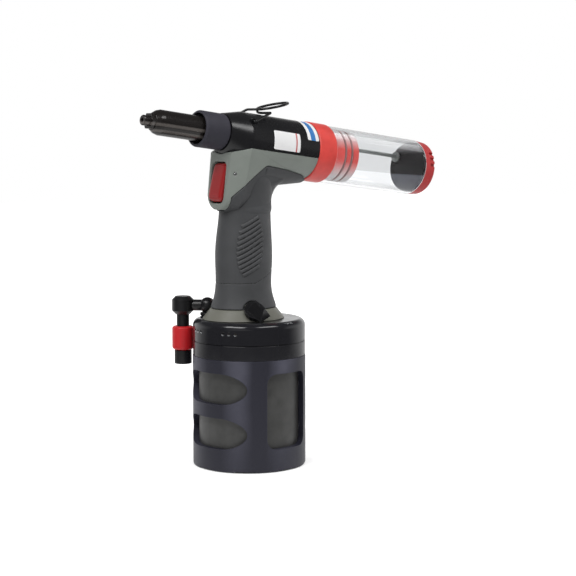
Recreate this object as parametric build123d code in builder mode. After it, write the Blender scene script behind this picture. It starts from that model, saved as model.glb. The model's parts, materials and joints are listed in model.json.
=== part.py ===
from build123d import *
import os
from math import cos, pi, radians, sin, sqrt

os.makedirs("parts", exist_ok=True)

# Hand-held air over oil riveter, in millimetres.
# The tool stands on its base: Z is up, X points to the nose, Y to the tool's left side.
# The origin is the centre of the base's bottom face.

# Fits shared by many pieces
slip = 0.1                      # radial gap of a fixed round fit
running = 0.06                  # radial gap of a sliding round fit
seat = 0.3                      # gap at a stop or between moving faces

# Base: rubber boot, air cylinder and bottom plate
boot_radius = 47.0
boot_wall = 5.0
boot_height = 91.7
boot_floor = 4.0
boot_edge_round = 0.9
foot_count = 8
foot_notch_depth = 1.2
foot_notch_reach = 8.0
stacked_window_azimuth = 4.0
stacked_window_half_angle = 47.0
stacked_window_height = 25.4
stacked_window_end = 20.0       # length of a window's half oval ends
stacked_window_low = 31.4
stacked_window_pitch = 36.6
tall_window_azimuth = 98.0
tall_window_half_angle = 27.0
tall_window_height = 62.0
tall_window_round = 8.0
tall_window_middle = 49.5

cylinder_wall = 2.5
cylinder_top_land = 5.8         # height of the cylinder that the head's skirt covers
retainer_ring_height = 1.5
retainer_ring_low = 2.5         # above the boot's floor
retainer_ring_depth = 1.0       # into the cylinder's wall
retainer_ring_width = 3.9
retainer_ring_gap = 12.0
base_plate_thickness = 7.8

# Cylinder head and lid
head_step = 0.3                 # head ring and lid stand inside the boot's outline
head_ring_height = 11.9
hub_radius = 24.0
lid_seam = 0.8
lid_seam_depth = 1.0
lid_height = 17.6
lid_top_thickness = 5.0
lid_wall = 4.2
lid_top_round = 5.5
exhaust_hole_radius = 1.2
exhaust_hole_spacing = 6.6      # degrees between the holes of a group
exhaust_hole_height = 9.0       # above the lid's lower edge
exhaust_group_azimuths = (-103.0, -11.0, 32.5)
silencer_thickness = 6.0

# Air piston, intensifier rod and its gland
piston_thickness = 12.0
piston_side_gap = 0.4
piston_groove_width = 5.0
piston_groove_depth = 5.0
piston_groove_low = 3.6
piston_pocket_inner = 12.0
piston_rim = 3.0                # between the seal's groove and the pocket
piston_pocket_floor = 5.0
piston_hub_height = 9.7
intensifier_radius = 7.0
intensifier_top_clear = 18.0    # rod above the lid's top at rest
rod_stud_radius = 4.0
nut_height = 4.0
nut_across_flats = 13.0
nut_recess_radius = 9.0
nut_recess_depth = 4.7
gland_radius = 12.0
gland_length = 14.3
gland_groove_low = 4.5
gland_groove_height = 4.0
gland_groove_depth = 2.5

# Pressure tube from the head up to the barrel
tube_bore = 7.5
tube_radius = 11.0
tube_socket_depth = 6.0
oil_port_radius = 3.0

# Main air valve in the head
valve_inset = 11.5              # valve axis from the lid's inner wall, at the rear
valve_boss_radius = 9.0
valve_sleeve_radius = 7.0
valve_spool_radius = 4.5
valve_spring_height = 3.4
valve_spring_wire = 0.7
valve_spring_radius = 3.2
valve_spring_turns = 2
spool_groove_depth = 1.2
spool_groove_width = 2.0

# Screws that hold the handle to the cylinder head
handle_screw_land = 1.8         # between the gland and a screw's head
handle_screw_count = 4
handle_screw_start = 45.0
handle_screw_radius = 2.45
handle_screw_head_radius = 4.2
handle_screw_head = 5.0
handle_screw_bite = 9.0

# Riveting head: a tilted nose axis, and a collector axis parallel to it and lower
head_tilt = 7.3
nose_axis_rise = 150.0          # nose axis above the lid, over the origin
collector_drop = 5.2

# Lengths along the head; places run along it from the vertical above the origin to the nose
cone_rear_place = 12.0
cone_length = 16.5
nose_sleeve_length = 24.1
casing_reach = 67.5             # nose casing ahead of the barrel
casing_taper = 7.0
hex_length = 3.5
tip_length = 5.5
barrel_length = 69.4            # behind the cone
collar_length = 19.1
spigot_length = 26.0
bottle_length = 103.3
cap_length = 12.2

# Barrel and its hydraulic cylinder
barrel_radius = 24.2
barrel_shell = 2.8              # skin of the barrel around its core, above the seam
barrel_front_radius = 15.6
seam_drop = 5.9                 # seam between barrel and handle, below the collector axis
pull_bore = 15.0
pull_front_inset = 8.0          # bore's front end behind the cone
rod_bush_length = 10.0
rod_bush_radius = 11.5
bush_groove_offset = 3.5
bush_groove_width = 3.0
bush_groove_depth = 2.2
pull_rod_radius = 7.0
pull_tail_radius = 6.0
pull_tail_reach = 2.6           # tail behind the barrel
pull_piston_gap = 2.0
pull_piston_length = 14.0
pull_groove_offset = 5.0
pull_groove_width = 4.0
pull_groove_depth = 2.9
mandrel_passage = 3.3
rear_plug_length = 8.0
plug_groove_width = 3.0
plug_groove_depth = 2.2
return_spring_radius = 10.5
return_spring_wire = 2.0
return_spring_turns = 6
oil_screw_place = -34.0
oil_screw_radius = 3.0
oil_screw_head_radius = 4.6
oil_screw_head = 2.4
oil_screw_depth = 6.0
oil_screw_key = 3.0
oil_screw_sink = 0.6

# Nose
tip_radius = 4.2
tip_edge = 0.6
tip_hole = 1.8
hex_across_flats = 12.0
nose_thread_radius = 5.1
nose_thread_length = 6.0
nosepiece_rear_radius = 3.8
nosepiece_tail = 3.7
casing_front_radius = 7.0
casing_mid_radius = 9.3
casing_radius = 10.3
casing_bore = 8.5
casing_rear_gap = 2.2           # behind the casing, ahead of the bush
nut_ring_radius = 12.4
nut_ring_length = 17.5
sleeve_radius = 14.9
sleeve_edge = 1.2

# Jaws
jaw_slope = 0.15                # radius lost per millimetre towards the nose
guide_front_gap = 1.5
guide_front_opening = 4.3
guide_chamber_margin = 1.0      # cone's end behind the jaws
guide_thread_radius = 6.1
guide_thread_length = 10.0
guide_length = 44.5
jaw_length = 13.0
jaw_grip_radius = 2.1
jaw_arc = 98.0
jaw_count = 3
pusher_front_radius = 5.2
pusher_radius = 6.3
pusher_shoulder = 4.7
pusher_length = 7.0
jaw_spring_radius = 5.2
jaw_spring_wire = 1.2
jaw_spring_turns = 5

# Mandrel collector
collar_lip = 0.8                # collar beyond the barrel's radius
collar_edge = 0.8
spigot_gap = 0.5
spigot_wall = 6.2
collar_web = 6.6
collar_window = 7.2             # hole in the collar's web for the piston's tail
bottle_wall = 2.0
bottle_radius = 24.2
o_ring_section = 1.1
spigot_ring_places = (-88.0, -95.0)
baffle_rod_radius = 1.75
baffle_rod_angle = 150.0        # from +Y towards up
baffle_rod_depth = 5.0
baffle_boss_radius = 4.7
baffle_boss_length = 2.0
baffle_boss_shift = 0.92        # boss centre nearer the axis than the rod
plug_inset = 1.3                # end plug's face inside the bottle
plug_thickness = 5.5
cap_draft = 0.8
cap_round = 2.2
cap_vent_width = 3.0
cap_vent_depth = 2.2
cap_vent_length = 6.4
cap_vent_spacing = 13.0
cap_vent_angles = (20.0, 140.0, 260.0)

# Hanger: a wire bail with a hooked eye
hanger_wire = 0.95
hanger_pivot_place = 11.0
hanger_pivot_rise = 10.8
hanger_pin_depth = 2.95         # pin's end inside the barrel's side
hanger_side_gap = 3.45          # leg's middle outside the barrel's side
hanger_bend_inset = 1.65        # upper bend inside the barrel's side
hanger_bend_place = -8.0
hanger_rest_gap = 0.35          # wire above the barrel at rest
hanger_lift = 3.0               # height between the crossing wires
hanger_neck = 0.5
hanger_eye_half_length = 13.2
hanger_eye_half_width = 11.5
hanger_eye_corners = 8
hanger_eye_slope = 0.34         # rise per millimetre towards the rear
hanger_cross_reach = 2.5
hanger_bend_radius = 2.2

# Handle: centre, half depth and half width of the grip at heights above the lid
skirt_bottom = (5.8, 36.0, 31.0)
skirt_top = (5.8, 28.6, 24.6)
skirt_height = 9.5
grip_stations = (
    (18.0, 5.7, 26.4, 21.3),
    (30.0, 5.7, 25.0, 19.3),
    (44.0, 5.4, 25.5, 19.5),
    (57.0, 5.35, 25.55, 19.6),
    (72.0, 4.9, 24.3, 19.0),
    (86.0, 4.25, 23.05, 18.4),
    (102.0, 3.6, 23.6, 18.2),
    (120.0, 4.0, 23.5, 18.4),
)
rubber_thickness = 2.6
rubber_gap = 0.4                # groove between rubber and housing
rib_count = 11
rib_height = 0.9
rib_width = 2.0
rib_low = 41.0                  # above the lid
rib_pitch = 4.0
rib_slope = 28.0
rib_middle = 11.5
rib_half_length = 13.0
rib_fullness = 0.35             # 0 for ribs of one length, 1 for a leaf of ribs
grip_seam_height = 30.0
grip_seam_bend = 8.0
grip_seam_rear = -30.0
grip_seam_rise = 16.0
grip_seam_width = 0.9
grip_seam_depth = 0.7

# Trigger housing sections along the head: half widths at top and foot, top, side and foot depths
housing_rear_place = -34.0
housing_facet_place = 13.0
housing_front_place = 26.8
housing_rear = (20.5, 12.5, -11.1, 18.0, 6.0)
housing_facet = (24.0, 18.6, -11.1, 38.0, 16.0)
housing_front = (14.0, 13.4, -16.4, 33.4, 13.4)
housing_front_round = 3.6
flare_radius = 17.0             # hollow of the grip's back below the tang
flare_low = 94.5                # where it starts, above the lid
flare_lead = 10.0               # its run-out down the grip's back
flare_front = 26.5
flare_rear = -19.8
flare_half_width = 18.0
flare_steps = 5
flare_step_angle = 15.0
flare_top = 120.0
flare_top_half_width = 12.5
rubber_edge = (                 # the rubber's upper edge, as X and depth below the nose axis
    (14.7, 37.0),
    (-2.0, 25.3),
    (-5.0, 24.1),
    (-25.4, 27.6),
    (-46.0, 31.8),
    (-52.0, 35.8),
    (-70.0, 46.0),
)
rubber_reach = 60.0             # the side view's cuts run this far ahead of the origin
chin_rear = 28.4                # rubber's edge below and behind the trigger
chin_low_drop = 59.8
chin_corner_drop = 49.4
tang_front_place = -8.0
tang_front = (21.0, 20.5)       # drop and radius of the tang's ends
tang_rear = (18.9, 13.5)

# Trigger and its valve
trigger_width = 18.0
trigger_side_gap = 0.8
trigger_lean = 3.2              # top's edge behind the front
trigger_depth = 10.7
trigger_rear_gap = 3.5          # room behind the trigger
trigger_top = -24.6
trigger_height = 32.0
trigger_round = 3.0
trigger_corner = 4.4
trigger_edge = 2.0
trigger_edge_slope = 0.9        # edges steeper than this run into the tool and stay sharp
trigger_pin_inset = 3.1         # ahead of the trigger's rear
trigger_pin_below = 8.6         # below its top
trigger_pin_radius = 1.2
trigger_pin_reach = 16.4
pocket_top_gap = 0.8
pocket_bottom_gap = 1.2
pocket_depth = 11.8
pocket_round = 4.6
trigger_valve_below = 24.6      # below the trigger's top
trigger_valve_radius = 5.5
trigger_valve_length = 8.8
trigger_well_depth = 5.0
trigger_spring_well = 3.6
trigger_stem_radius = 2.0
trigger_stem_tip = 1.0
trigger_stem_tail = 0.5         # stem behind the spring's well
trigger_stem_travel = 2.0
stem_collar_radius = 3.3
stem_collar_lead = 0.6          # collar ahead of the valve's body
stem_collar_width = 1.0
trigger_spring_radius = 2.75
trigger_spring_wire = 0.6
trigger_spring_turns = 4

# Vacuum switch on the skirt
switch_azimuth = 73.0
switch_tilt = 45.0
switch_radius = 9.0
switch_recess_gap = 1.2
switch_thickness = 3.5
switch_reach = 26.5             # from the skirt's middle to the switch's inner face
switch_height = 7.0             # above the lid
switch_stem_radius = 3.0
switch_stem_length = 4.5
switch_bar_turn = 58.0          # from level towards down
switch_bar_reach = 11.5         # bar's low end from the switch's axis
switch_bar_length = 15.5
switch_bar_width = 12.0
switch_bar_tip = 1.6
switch_bar_height = 9.0
switch_bar_hip = 25.0           # lean of the bar's low end

# Air inlet: swivel post, swivel ball, elbow, slide valve and hose connector
inlet_inset = 8.43              # post's axis inside the lid's edge
inlet_azimuth = -61.1
inlet_axis_rise = 8.6           # above the lid
inlet_flange_radius = 6.2
inlet_flange_height = 2.8
inlet_thread_radius = 4.9
inlet_post_radius = 3.5
inlet_ball_radius = 6.8
arm_azimuth = -45.0
arm_length = 21.0
arm_radius = 4.8
arm_spigot_radius = 3.9
elbow_radius = 9.2
elbow_half_height = 7.6
elbow_edge = 3.0
pipe_radius = 5.3
pipe_bore = 3.0
pipe_drop = 39.6                # pipe's end, sleeve's foot and connector's foot below the inlet axis
slide_sleeve_drop = 37.6
connector_drop = 49.6
slide_sleeve_radius = 9.2
slide_sleeve_length = 20.0
sleeve_edge_round = 1.5
connector_radius = 7.3
port_radius = 4.3

# Heights that follow from the base
cylinder_outer = boot_radius - boot_wall - slip
cylinder_bore = cylinder_outer - cylinder_wall
cylinder_top = boot_height + cylinder_top_land
head_radius = boot_radius - head_step
lid_inner_radius = head_radius - lid_wall
valve_place = valve_inset - lid_inner_radius
handle_screw_circle = gland_radius + handle_screw_land + handle_screw_head_radius
head_top = boot_height + head_ring_height
lid_bottom = head_top + lid_seam
lid_top = lid_bottom + lid_height
lid_inner_top = lid_top - lid_top_thickness
ring_low = boot_floor + retainer_ring_low
plate_low = ring_low + retainer_ring_height + slip
plate_top = plate_low + base_plate_thickness
piston_low = plate_top + seat
piston_top = piston_low + piston_thickness
piston_radius = cylinder_bore - piston_side_gap
piston_pocket_outer = piston_radius - piston_groove_depth - piston_rim
intensifier_top = lid_top + intensifier_top_clear
gland_top = cylinder_top + gland_length
nose_axis_height = lid_top + nose_axis_rise

# Places along the head that follow from its lengths
barrel_front_place = cone_rear_place + cone_length
sleeve_front_place = barrel_front_place + nose_sleeve_length
nut_ring_front_place = barrel_front_place + nut_ring_length
casing_front_place = barrel_front_place + casing_reach
casing_shoulder_place = casing_front_place - casing_taper
hex_front_place = casing_front_place + hex_length
nose_tip_place = hex_front_place + tip_length
barrel_rear_place = cone_rear_place - barrel_length
collar_rear_place = barrel_rear_place - collar_length
spigot_rear_place = collar_rear_place - spigot_length
bottle_rear_place = collar_rear_place - bottle_length
cap_rear_place = bottle_rear_place - cap_length
pull_front_place = cone_rear_place - pull_front_inset
pull_piston_front = pull_front_place - pull_piston_gap
pull_tail_place = barrel_rear_place - pull_tail_reach
gland_front_place = pull_front_place + rod_bush_length
casing_rear_place = gland_front_place + casing_rear_gap
nose_thread_end = casing_front_place - nose_thread_length
nosepiece_rear_place = nose_thread_end - nosepiece_tail
guide_front_place = nose_thread_end - guide_front_gap
guide_rear_place = guide_front_place - guide_length
guide_thread_front = guide_rear_place + guide_thread_length
jaw_front_place = nosepiece_rear_place - seat
jaw_rear_place = jaw_front_place - jaw_length
guide_chamber_place = jaw_rear_place - guide_chamber_margin
pocket_place = housing_front_place - pocket_depth
trigger_rear_place = pocket_place + trigger_rear_gap
trigger_front_place = trigger_rear_place + trigger_depth
trigger_top_place = trigger_front_place - trigger_lean
trigger_pin_place = trigger_rear_place + trigger_pin_inset
trigger_valve_rear = pocket_place - trigger_valve_length
trigger_well_place = pocket_place - trigger_well_depth
trigger_stem_rear = trigger_well_place - trigger_stem_tail
stem_collar_place = pocket_place + stem_collar_lead

# Heights and radii around the head that follow from others
trigger_bottom = trigger_top - trigger_height
trigger_pin_drop = trigger_pin_below - trigger_top
trigger_valve_drop = trigger_valve_below - trigger_top
pocket_top = trigger_top + pocket_top_gap
pocket_bottom = trigger_bottom - pocket_bottom_gap
barrel_core_radius = barrel_radius - barrel_shell
collar_radius = barrel_radius + collar_lip
bottle_bore = bottle_radius - bottle_wall
spigot_radius = bottle_bore - spigot_gap
spigot_bore = spigot_radius - spigot_wall
baffle_rod_circle = (spigot_radius + spigot_bore) / 2
cap_rear_radius = bottle_radius - cap_draft
hanger_half_width = sqrt(barrel_radius ** 2 - (hanger_pivot_rise + collector_drop) ** 2)
hanger_pin_inner = hanger_half_width - hanger_pin_depth
hanger_leg_out = hanger_half_width + hanger_side_gap
hanger_bend_out = hanger_half_width - hanger_bend_inset

# Directions and planes of the riveting head
along = Vector(cos(radians(head_tilt)), 0, sin(radians(head_tilt)))
head_up = Vector(-sin(radians(head_tilt)), 0, cos(radians(head_tilt)))
tool_left = Vector(0, 1, 0)
nose_origin = Vector(0, 0, nose_axis_height)
collector_origin = nose_origin - head_up * collector_drop
nose_axis = Axis(nose_origin, along)
collector_axis = Axis(collector_origin, along)
nose_side = Plane(origin=nose_origin, x_dir=along, z_dir=(0, -1, 0))
collector_side = Plane(origin=collector_origin, x_dir=along, z_dir=(0, -1, 0))
core_drop = (collector_drop + barrel_core_radius) / cos(radians(head_tilt))
tube_top = nose_axis_height - core_drop + tube_socket_depth

oil_screw_point = collector_origin + along * oil_screw_place - tool_left * (barrel_radius - oil_screw_sink)
oil_screw_plane = Plane(origin=oil_screw_point, x_dir=along, z_dir=(0, -1, 0))
switch_out = Vector(
    cos(radians(switch_azimuth)) * cos(radians(switch_tilt)),
    sin(radians(switch_azimuth)) * cos(radians(switch_tilt)),
    sin(radians(switch_tilt)),
)
switch_across = Vector(-sin(radians(switch_azimuth)), cos(radians(switch_azimuth)), 0)
switch_point = Vector(
    skirt_bottom[0] + switch_reach * cos(radians(switch_azimuth)),
    switch_reach * sin(radians(switch_azimuth)),
    lid_top + switch_height,
)
switch_plane = Plane(origin=switch_point, x_dir=switch_across, z_dir=switch_out)


def azimuth_direction(angle):
    """Level direction at an angle from the nose towards the tool's left."""
    return Vector(cos(radians(angle)), sin(radians(angle)), 0)


# Places of the air inlet at the tool's right side
inlet_x = (head_radius - inlet_inset) * cos(radians(inlet_azimuth))
inlet_y = (head_radius - inlet_inset) * sin(radians(inlet_azimuth))
inlet_room = max(inlet_flange_radius, inlet_ball_radius) + seat
inlet_point = Vector(inlet_x, inlet_y, lid_top + inlet_axis_rise)
arm_out = azimuth_direction(arm_azimuth)
elbow_point = inlet_point + arm_out * arm_length
inlet_side = Plane(origin=(inlet_x, inlet_y, 0), x_dir=(1, 0, 0), z_dir=(0, -1, 0))
inlet_axis = Axis((inlet_x, inlet_y, 0), (0, 0, 1))
arm_plane = Plane(origin=inlet_point, x_dir=(0, 0, 1), z_dir=arm_out)


def nose_station(place):
    """Plane square to the nose axis: its x is the tool's left, its y is up."""
    return Plane(origin=nose_origin + along * place, x_dir=tool_left, z_dir=along)


def collector_station(place):
    """Plane square to the collector axis: its x is the tool's left, its y is up."""
    return Plane(origin=collector_origin + along * place, x_dir=tool_left, z_dir=along)


def head_point(place, left, rise):
    """A point given along the nose axis, to the tool's left and above the axis."""
    return nose_origin + along * place + tool_left * left + head_up * rise


def radial_direction(angle):
    """Direction square to the nose axis, turned from up about the axis."""
    return head_up * cos(radians(angle)) - tool_left * sin(radians(angle))


def turn(outline, side=Plane.XZ, axis=Axis.Z, mode=Mode.ADD):
    """Revolve a closed outline of straight edges about an axis in its plane."""
    with BuildSketch(side) as section_sketch:
        with BuildLine():
            Polyline(*outline, close=True)
        make_face()
    revolve(section_sketch.sketch, axis=axis, mode=mode)


def upright_ring(inner, outer, low, high):
    """Outline of a ring about Z."""
    return [(inner, low), (outer, low), (outer, high), (inner, high)]


def lying_ring(inner, outer, rear, front):
    """Outline of a ring about a head axis."""
    return [(rear, inner), (front, inner), (front, outer), (rear, outer)]


def nose_turn(outline, mode=Mode.ADD):
    turn(outline, nose_side, nose_axis, mode)


def collector_turn(outline, mode=Mode.ADD):
    turn(outline, collector_side, collector_axis, mode)


def o_ring(side, axis, centre, section):
    """A round seal whose section has its centre at the given point of the side plane."""
    with BuildSketch(side) as section_sketch:
        with Locations(centre):
            Circle(section)
    revolve(section_sketch.sketch, axis=axis)


def coil(start, direction, length, radius, wire, turns):
    """An open coil spring from a start point along a direction, swept turn by turn."""
    pitch = (length - 2 * wire) / turns
    for turn_number in range(turns):
        turn_start = start + direction * (wire + turn_number * pitch)
        with BuildLine() as path:
            Helix(pitch=pitch, height=pitch, radius=radius, center=turn_start, direction=direction)
        line = path.line
        with BuildSketch(Plane(origin=line @ 0, z_dir=line % 0)) as wire_section:
            Circle(wire)
        sweep(wire_section.sketch, path=line)


# Base boot: a rubber cup with windows around the air cylinder
with BuildPart() as base_boot:
    with BuildSketch(Plane.XZ):
        with BuildLine():
            Polyline(
                (0, 0),
                (boot_radius, 0),
                (boot_radius, boot_height),
                (boot_radius - boot_wall, boot_height),
                (boot_radius - boot_wall, boot_floor),
                (0, boot_floor),
                close=True,
            )
        make_face()
    revolve(axis=Axis.Z)
    outer_rims = base_boot.edges().filter_by(GeomType.CIRCLE).filter_by(
        lambda edge: abs(edge.radius - boot_radius) < slip
    )
    fillet(outer_rims, boot_edge_round)
    notch_middle = boot_radius - foot_notch_reach / 2
    notch_width = 2 * boot_radius * sin(pi / (2 * foot_count))
    with BuildSketch(Plane.XY):
        with PolarLocations(notch_middle + slip, foot_count, start_angle=stacked_window_azimuth):
            Rectangle(foot_notch_reach, notch_width)
    extrude(amount=foot_notch_depth, mode=Mode.SUBTRACT)
    window_straight = boot_radius * sin(radians(stacked_window_half_angle)) - stacked_window_end
    for half_turn in (0, 180):
        stacked_out = azimuth_direction(stacked_window_azimuth + half_turn)
        for level in range(2):
            window_middle = Vector(0, 0, stacked_window_low + level * stacked_window_pitch)
            window_plane = Plane(
                origin=window_middle, x_dir=Vector(0, 0, 1).cross(stacked_out), z_dir=stacked_out
            )
            with BuildSketch(window_plane):
                Rectangle(2 * window_straight, stacked_window_height)
                with Locations((-window_straight, 0), (window_straight, 0)):
                    Ellipse(stacked_window_end, stacked_window_height / 2)
            extrude(amount=2 * boot_radius, mode=Mode.SUBTRACT)
        tall_out = azimuth_direction(tall_window_azimuth + half_turn)
        tall_plane = Plane(
            origin=(0, 0, tall_window_middle), x_dir=Vector(0, 0, 1).cross(tall_out), z_dir=tall_out
        )
        with BuildSketch(tall_plane):
            RectangleRounded(
                2 * boot_radius * sin(radians(tall_window_half_angle)),
                tall_window_height,
                tall_window_round,
            )
        extrude(amount=2 * boot_radius, mode=Mode.SUBTRACT)
base_boot.part.label = "base_boot"
export_step(base_boot.part, "parts/base_boot.step")

# Air cylinder with a groove for the retaining ring
with BuildPart() as air_cylinder:
    turn(upright_ring(cylinder_bore, cylinder_outer, boot_floor, cylinder_top))
    turn(
        upright_ring(
            cylinder_bore - slip, cylinder_bore + retainer_ring_depth + slip,
            ring_low - slip, ring_low + retainer_ring_height + slip,
        ),
        mode=Mode.SUBTRACT,
    )
air_cylinder.part.label = "air_cylinder"
export_step(air_cylinder.part, "parts/air_cylinder.step")

# Base plate that closes the cylinder, with its seal's groove
seal_outer = cylinder_bore - running
seal_middle = seal_outer - o_ring_section
seal_height = (plate_low + plate_top) / 2
with BuildPart() as base_plate:
    turn(upright_ring(0, cylinder_bore - slip, plate_low, plate_top))
    turn(
        upright_ring(
            seal_middle - o_ring_section - running, cylinder_bore,
            seal_height - o_ring_section - slip, seal_height + o_ring_section + slip,
        ),
        mode=Mode.SUBTRACT,
    )
base_plate.part.label = "base_plate"
export_step(base_plate.part, "parts/base_plate.step")

with BuildPart() as base_plate_seal:
    o_ring(Plane.XZ, Axis.Z, (seal_middle, seal_height), o_ring_section)
base_plate_seal.part.label = "base_plate_seal"
export_step(base_plate_seal.part, "parts/base_plate_seal.step")

with BuildPart() as base_retaining_ring:
    ring_outer = cylinder_bore + retainer_ring_depth
    turn(upright_ring(
        ring_outer - retainer_ring_width, ring_outer, ring_low, ring_low + retainer_ring_height
    ))
    with BuildSketch(Plane.XY.offset(ring_low)):
        with Locations((ring_outer, 0)):
            Rectangle(2 * retainer_ring_width + ring_outer / 2, retainer_ring_gap)
    extrude(amount=retainer_ring_height, mode=Mode.SUBTRACT)
base_retaining_ring.part.label = "base_retaining_ring"
export_step(base_retaining_ring.part, "parts/base_retaining_ring.step")

# Air piston with a deep ring seal
groove_low = piston_low + piston_groove_low
with BuildPart() as air_piston:
    turn([
        (rod_stud_radius + slip, piston_low + nut_recess_depth),
        (nut_recess_radius, piston_low + nut_recess_depth),
        (nut_recess_radius, piston_low),
        (piston_radius, piston_low),
        (piston_radius, groove_low),
        (piston_radius - piston_groove_depth, groove_low),
        (piston_radius - piston_groove_depth, groove_low + piston_groove_width),
        (piston_radius, groove_low + piston_groove_width),
        (piston_radius, piston_top),
        (piston_pocket_outer, piston_top),
        (piston_pocket_outer, piston_low + piston_pocket_floor),
        (piston_pocket_inner, piston_low + piston_pocket_floor),
        (piston_pocket_inner, piston_low + piston_hub_height),
        (rod_stud_radius + slip, piston_low + piston_hub_height),
    ])
air_piston.part.label = "air_piston"
export_step(air_piston.part, "parts/air_piston.step")

with BuildPart() as air_piston_seal:
    turn(upright_ring(
        piston_radius - piston_groove_depth + slip, cylinder_bore - running,
        groove_low + slip, groove_low + piston_groove_width - slip,
    ))
air_piston_seal.part.label = "air_piston_seal"
export_step(air_piston_seal.part, "parts/air_piston_seal.step")

# Intensifier rod: the ram that squeezes the oil
with BuildPart() as intensifier_rod:
    turn([
        (0, piston_low + seat),
        (rod_stud_radius, piston_low + seat),
        (rod_stud_radius, piston_low + piston_hub_height),
        (intensifier_radius, piston_low + piston_hub_height),
        (intensifier_radius, intensifier_top),
        (0, intensifier_top),
    ])
intensifier_rod.part.label = "intensifier_rod"
export_step(intensifier_rod.part, "parts/intensifier_rod.step")

with BuildPart() as piston_nut:
    with BuildSketch(Plane.XY.offset(piston_low + nut_recess_depth - nut_height)):
        RegularPolygon(nut_across_flats / 2, 6, major_radius=False)
        Circle(rod_stud_radius + slip, mode=Mode.SUBTRACT)
    extrude(amount=nut_height)
piston_nut.part.label = "piston_nut"
export_step(piston_nut.part, "parts/piston_nut.step")

# Cylinder head: closes the cylinder and carries gland, valve and handle
with BuildPart() as cylinder_head:
    turn([
        (gland_radius + slip, cylinder_top),
        (cylinder_outer + slip, cylinder_top),
        (cylinder_outer + slip, boot_height),
        (head_radius, boot_height),
        (head_radius, head_top),
        (hub_radius, head_top),
        (hub_radius, lid_inner_top),
        (tube_radius + slip, lid_inner_top),
        (tube_radius + slip, gland_top),
        (gland_radius + slip, gland_top),
    ])
    with BuildSketch(Plane.XY.offset(head_top)):
        with Locations((valve_place, 0)):
            Circle(valve_boss_radius)
    extrude(amount=lid_inner_top - head_top)
    with BuildSketch(Plane.XY.offset(head_top)):
        with Locations((valve_place, 0)):
            Circle(valve_sleeve_radius + slip)
    extrude(amount=lid_inner_top - head_top, mode=Mode.SUBTRACT)
    with BuildSketch(Plane.XY.offset(cylinder_top)):
        with PolarLocations(handle_screw_circle, handle_screw_count, start_angle=handle_screw_start):
            Circle(handle_screw_radius + slip)
    extrude(amount=lid_inner_top - cylinder_top, mode=Mode.SUBTRACT)
    with BuildSketch(Plane.XY.offset(cylinder_top)):
        with PolarLocations(handle_screw_circle, handle_screw_count, start_angle=handle_screw_start):
            Circle(handle_screw_head_radius + seat)
    extrude(amount=handle_screw_head + slip, mode=Mode.SUBTRACT)
cylinder_head.part.label = "cylinder_head"
export_step(cylinder_head.part, "parts/cylinder_head.step")

# Lid over the exhaust chamber, with its groups of exhaust holes
with BuildPart() as lid_cover:
    with BuildSketch(Plane.XZ):
        with BuildLine():
            Polyline(
                (tube_radius + slip, lid_inner_top),
                (lid_inner_radius, lid_inner_top),
                (lid_inner_radius, head_top),
                (head_radius - lid_seam_depth, head_top),
                (head_radius - lid_seam_depth, lid_bottom),
                (head_radius, lid_bottom),
                (head_radius, lid_top - lid_top_round),
            )
            RadiusArc(
                (head_radius, lid_top - lid_top_round),
                (head_radius - lid_top_round, lid_top),
                -lid_top_round,
            )
            Polyline(
                (head_radius - lid_top_round, lid_top),
                (tube_radius + slip, lid_top),
                (tube_radius + slip, lid_inner_top),
            )
        make_face()
    revolve(axis=Axis.Z)
    for group_azimuth in exhaust_group_azimuths:
        for step in (-1, 0, 1):
            hole_out = azimuth_direction(group_azimuth + step * exhaust_hole_spacing)
            with BuildSketch(Plane(origin=(0, 0, lid_bottom + exhaust_hole_height), z_dir=hole_out)):
                Circle(exhaust_hole_radius)
            extrude(amount=2 * head_radius, mode=Mode.SUBTRACT)
    with BuildSketch(Plane.XY.offset(lid_inner_top)):
        with PolarLocations(handle_screw_circle, handle_screw_count, start_angle=handle_screw_start):
            Circle(handle_screw_radius + slip)
        with Locations((inlet_x, inlet_y)):
            Circle(inlet_thread_radius + slip)
    extrude(amount=lid_top_thickness, mode=Mode.SUBTRACT)
lid_cover.part.label = "lid_cover"
export_step(lid_cover.part, "parts/lid_cover.step")

with BuildPart() as exhaust_silencer:
    turn(upright_ring(
        lid_inner_radius - slip - silencer_thickness, lid_inner_radius - slip, head_top, lid_inner_top
    ))
    with BuildSketch(Plane.XY.offset(head_top)):
        with Locations((valve_place, 0)):
            Circle(valve_boss_radius + seat)
    extrude(amount=lid_inner_top - head_top, mode=Mode.SUBTRACT)
exhaust_silencer.part.label = "exhaust_silencer"
export_step(exhaust_silencer.part, "parts/exhaust_silencer.step")

with BuildPart() as handle_screws:
    screw_low = cylinder_top + slip
    with BuildSketch(Plane.XY.offset(screw_low)):
        with PolarLocations(handle_screw_circle, handle_screw_count, start_angle=handle_screw_start):
            Circle(handle_screw_head_radius)
            RegularPolygon(handle_screw_radius, 6, mode=Mode.SUBTRACT)
    extrude(amount=handle_screw_head)
    with BuildSketch(Plane.XY.offset(screw_low + handle_screw_head / 2)):
        with PolarLocations(handle_screw_circle, handle_screw_count, start_angle=handle_screw_start):
            Circle(handle_screw_radius)
    extrude(amount=lid_top + handle_screw_bite - screw_low - handle_screw_head / 2)
handle_screws.part.label = "handle_screws"
export_step(handle_screws.part, "parts/handle_screws.step")

# Gland that guides the rod and keeps the oil in
gland_seal_low = cylinder_top + gland_groove_low
with BuildPart() as rod_gland:
    turn(upright_ring(intensifier_radius + running, gland_radius, cylinder_top, gland_top))
    turn(
        upright_ring(
            intensifier_radius, intensifier_radius + running + gland_groove_depth,
            gland_seal_low, gland_seal_low + gland_groove_height,
        ),
        mode=Mode.SUBTRACT,
    )
rod_gland.part.label = "rod_gland"
export_step(rod_gland.part, "parts/rod_gland.step")

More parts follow.
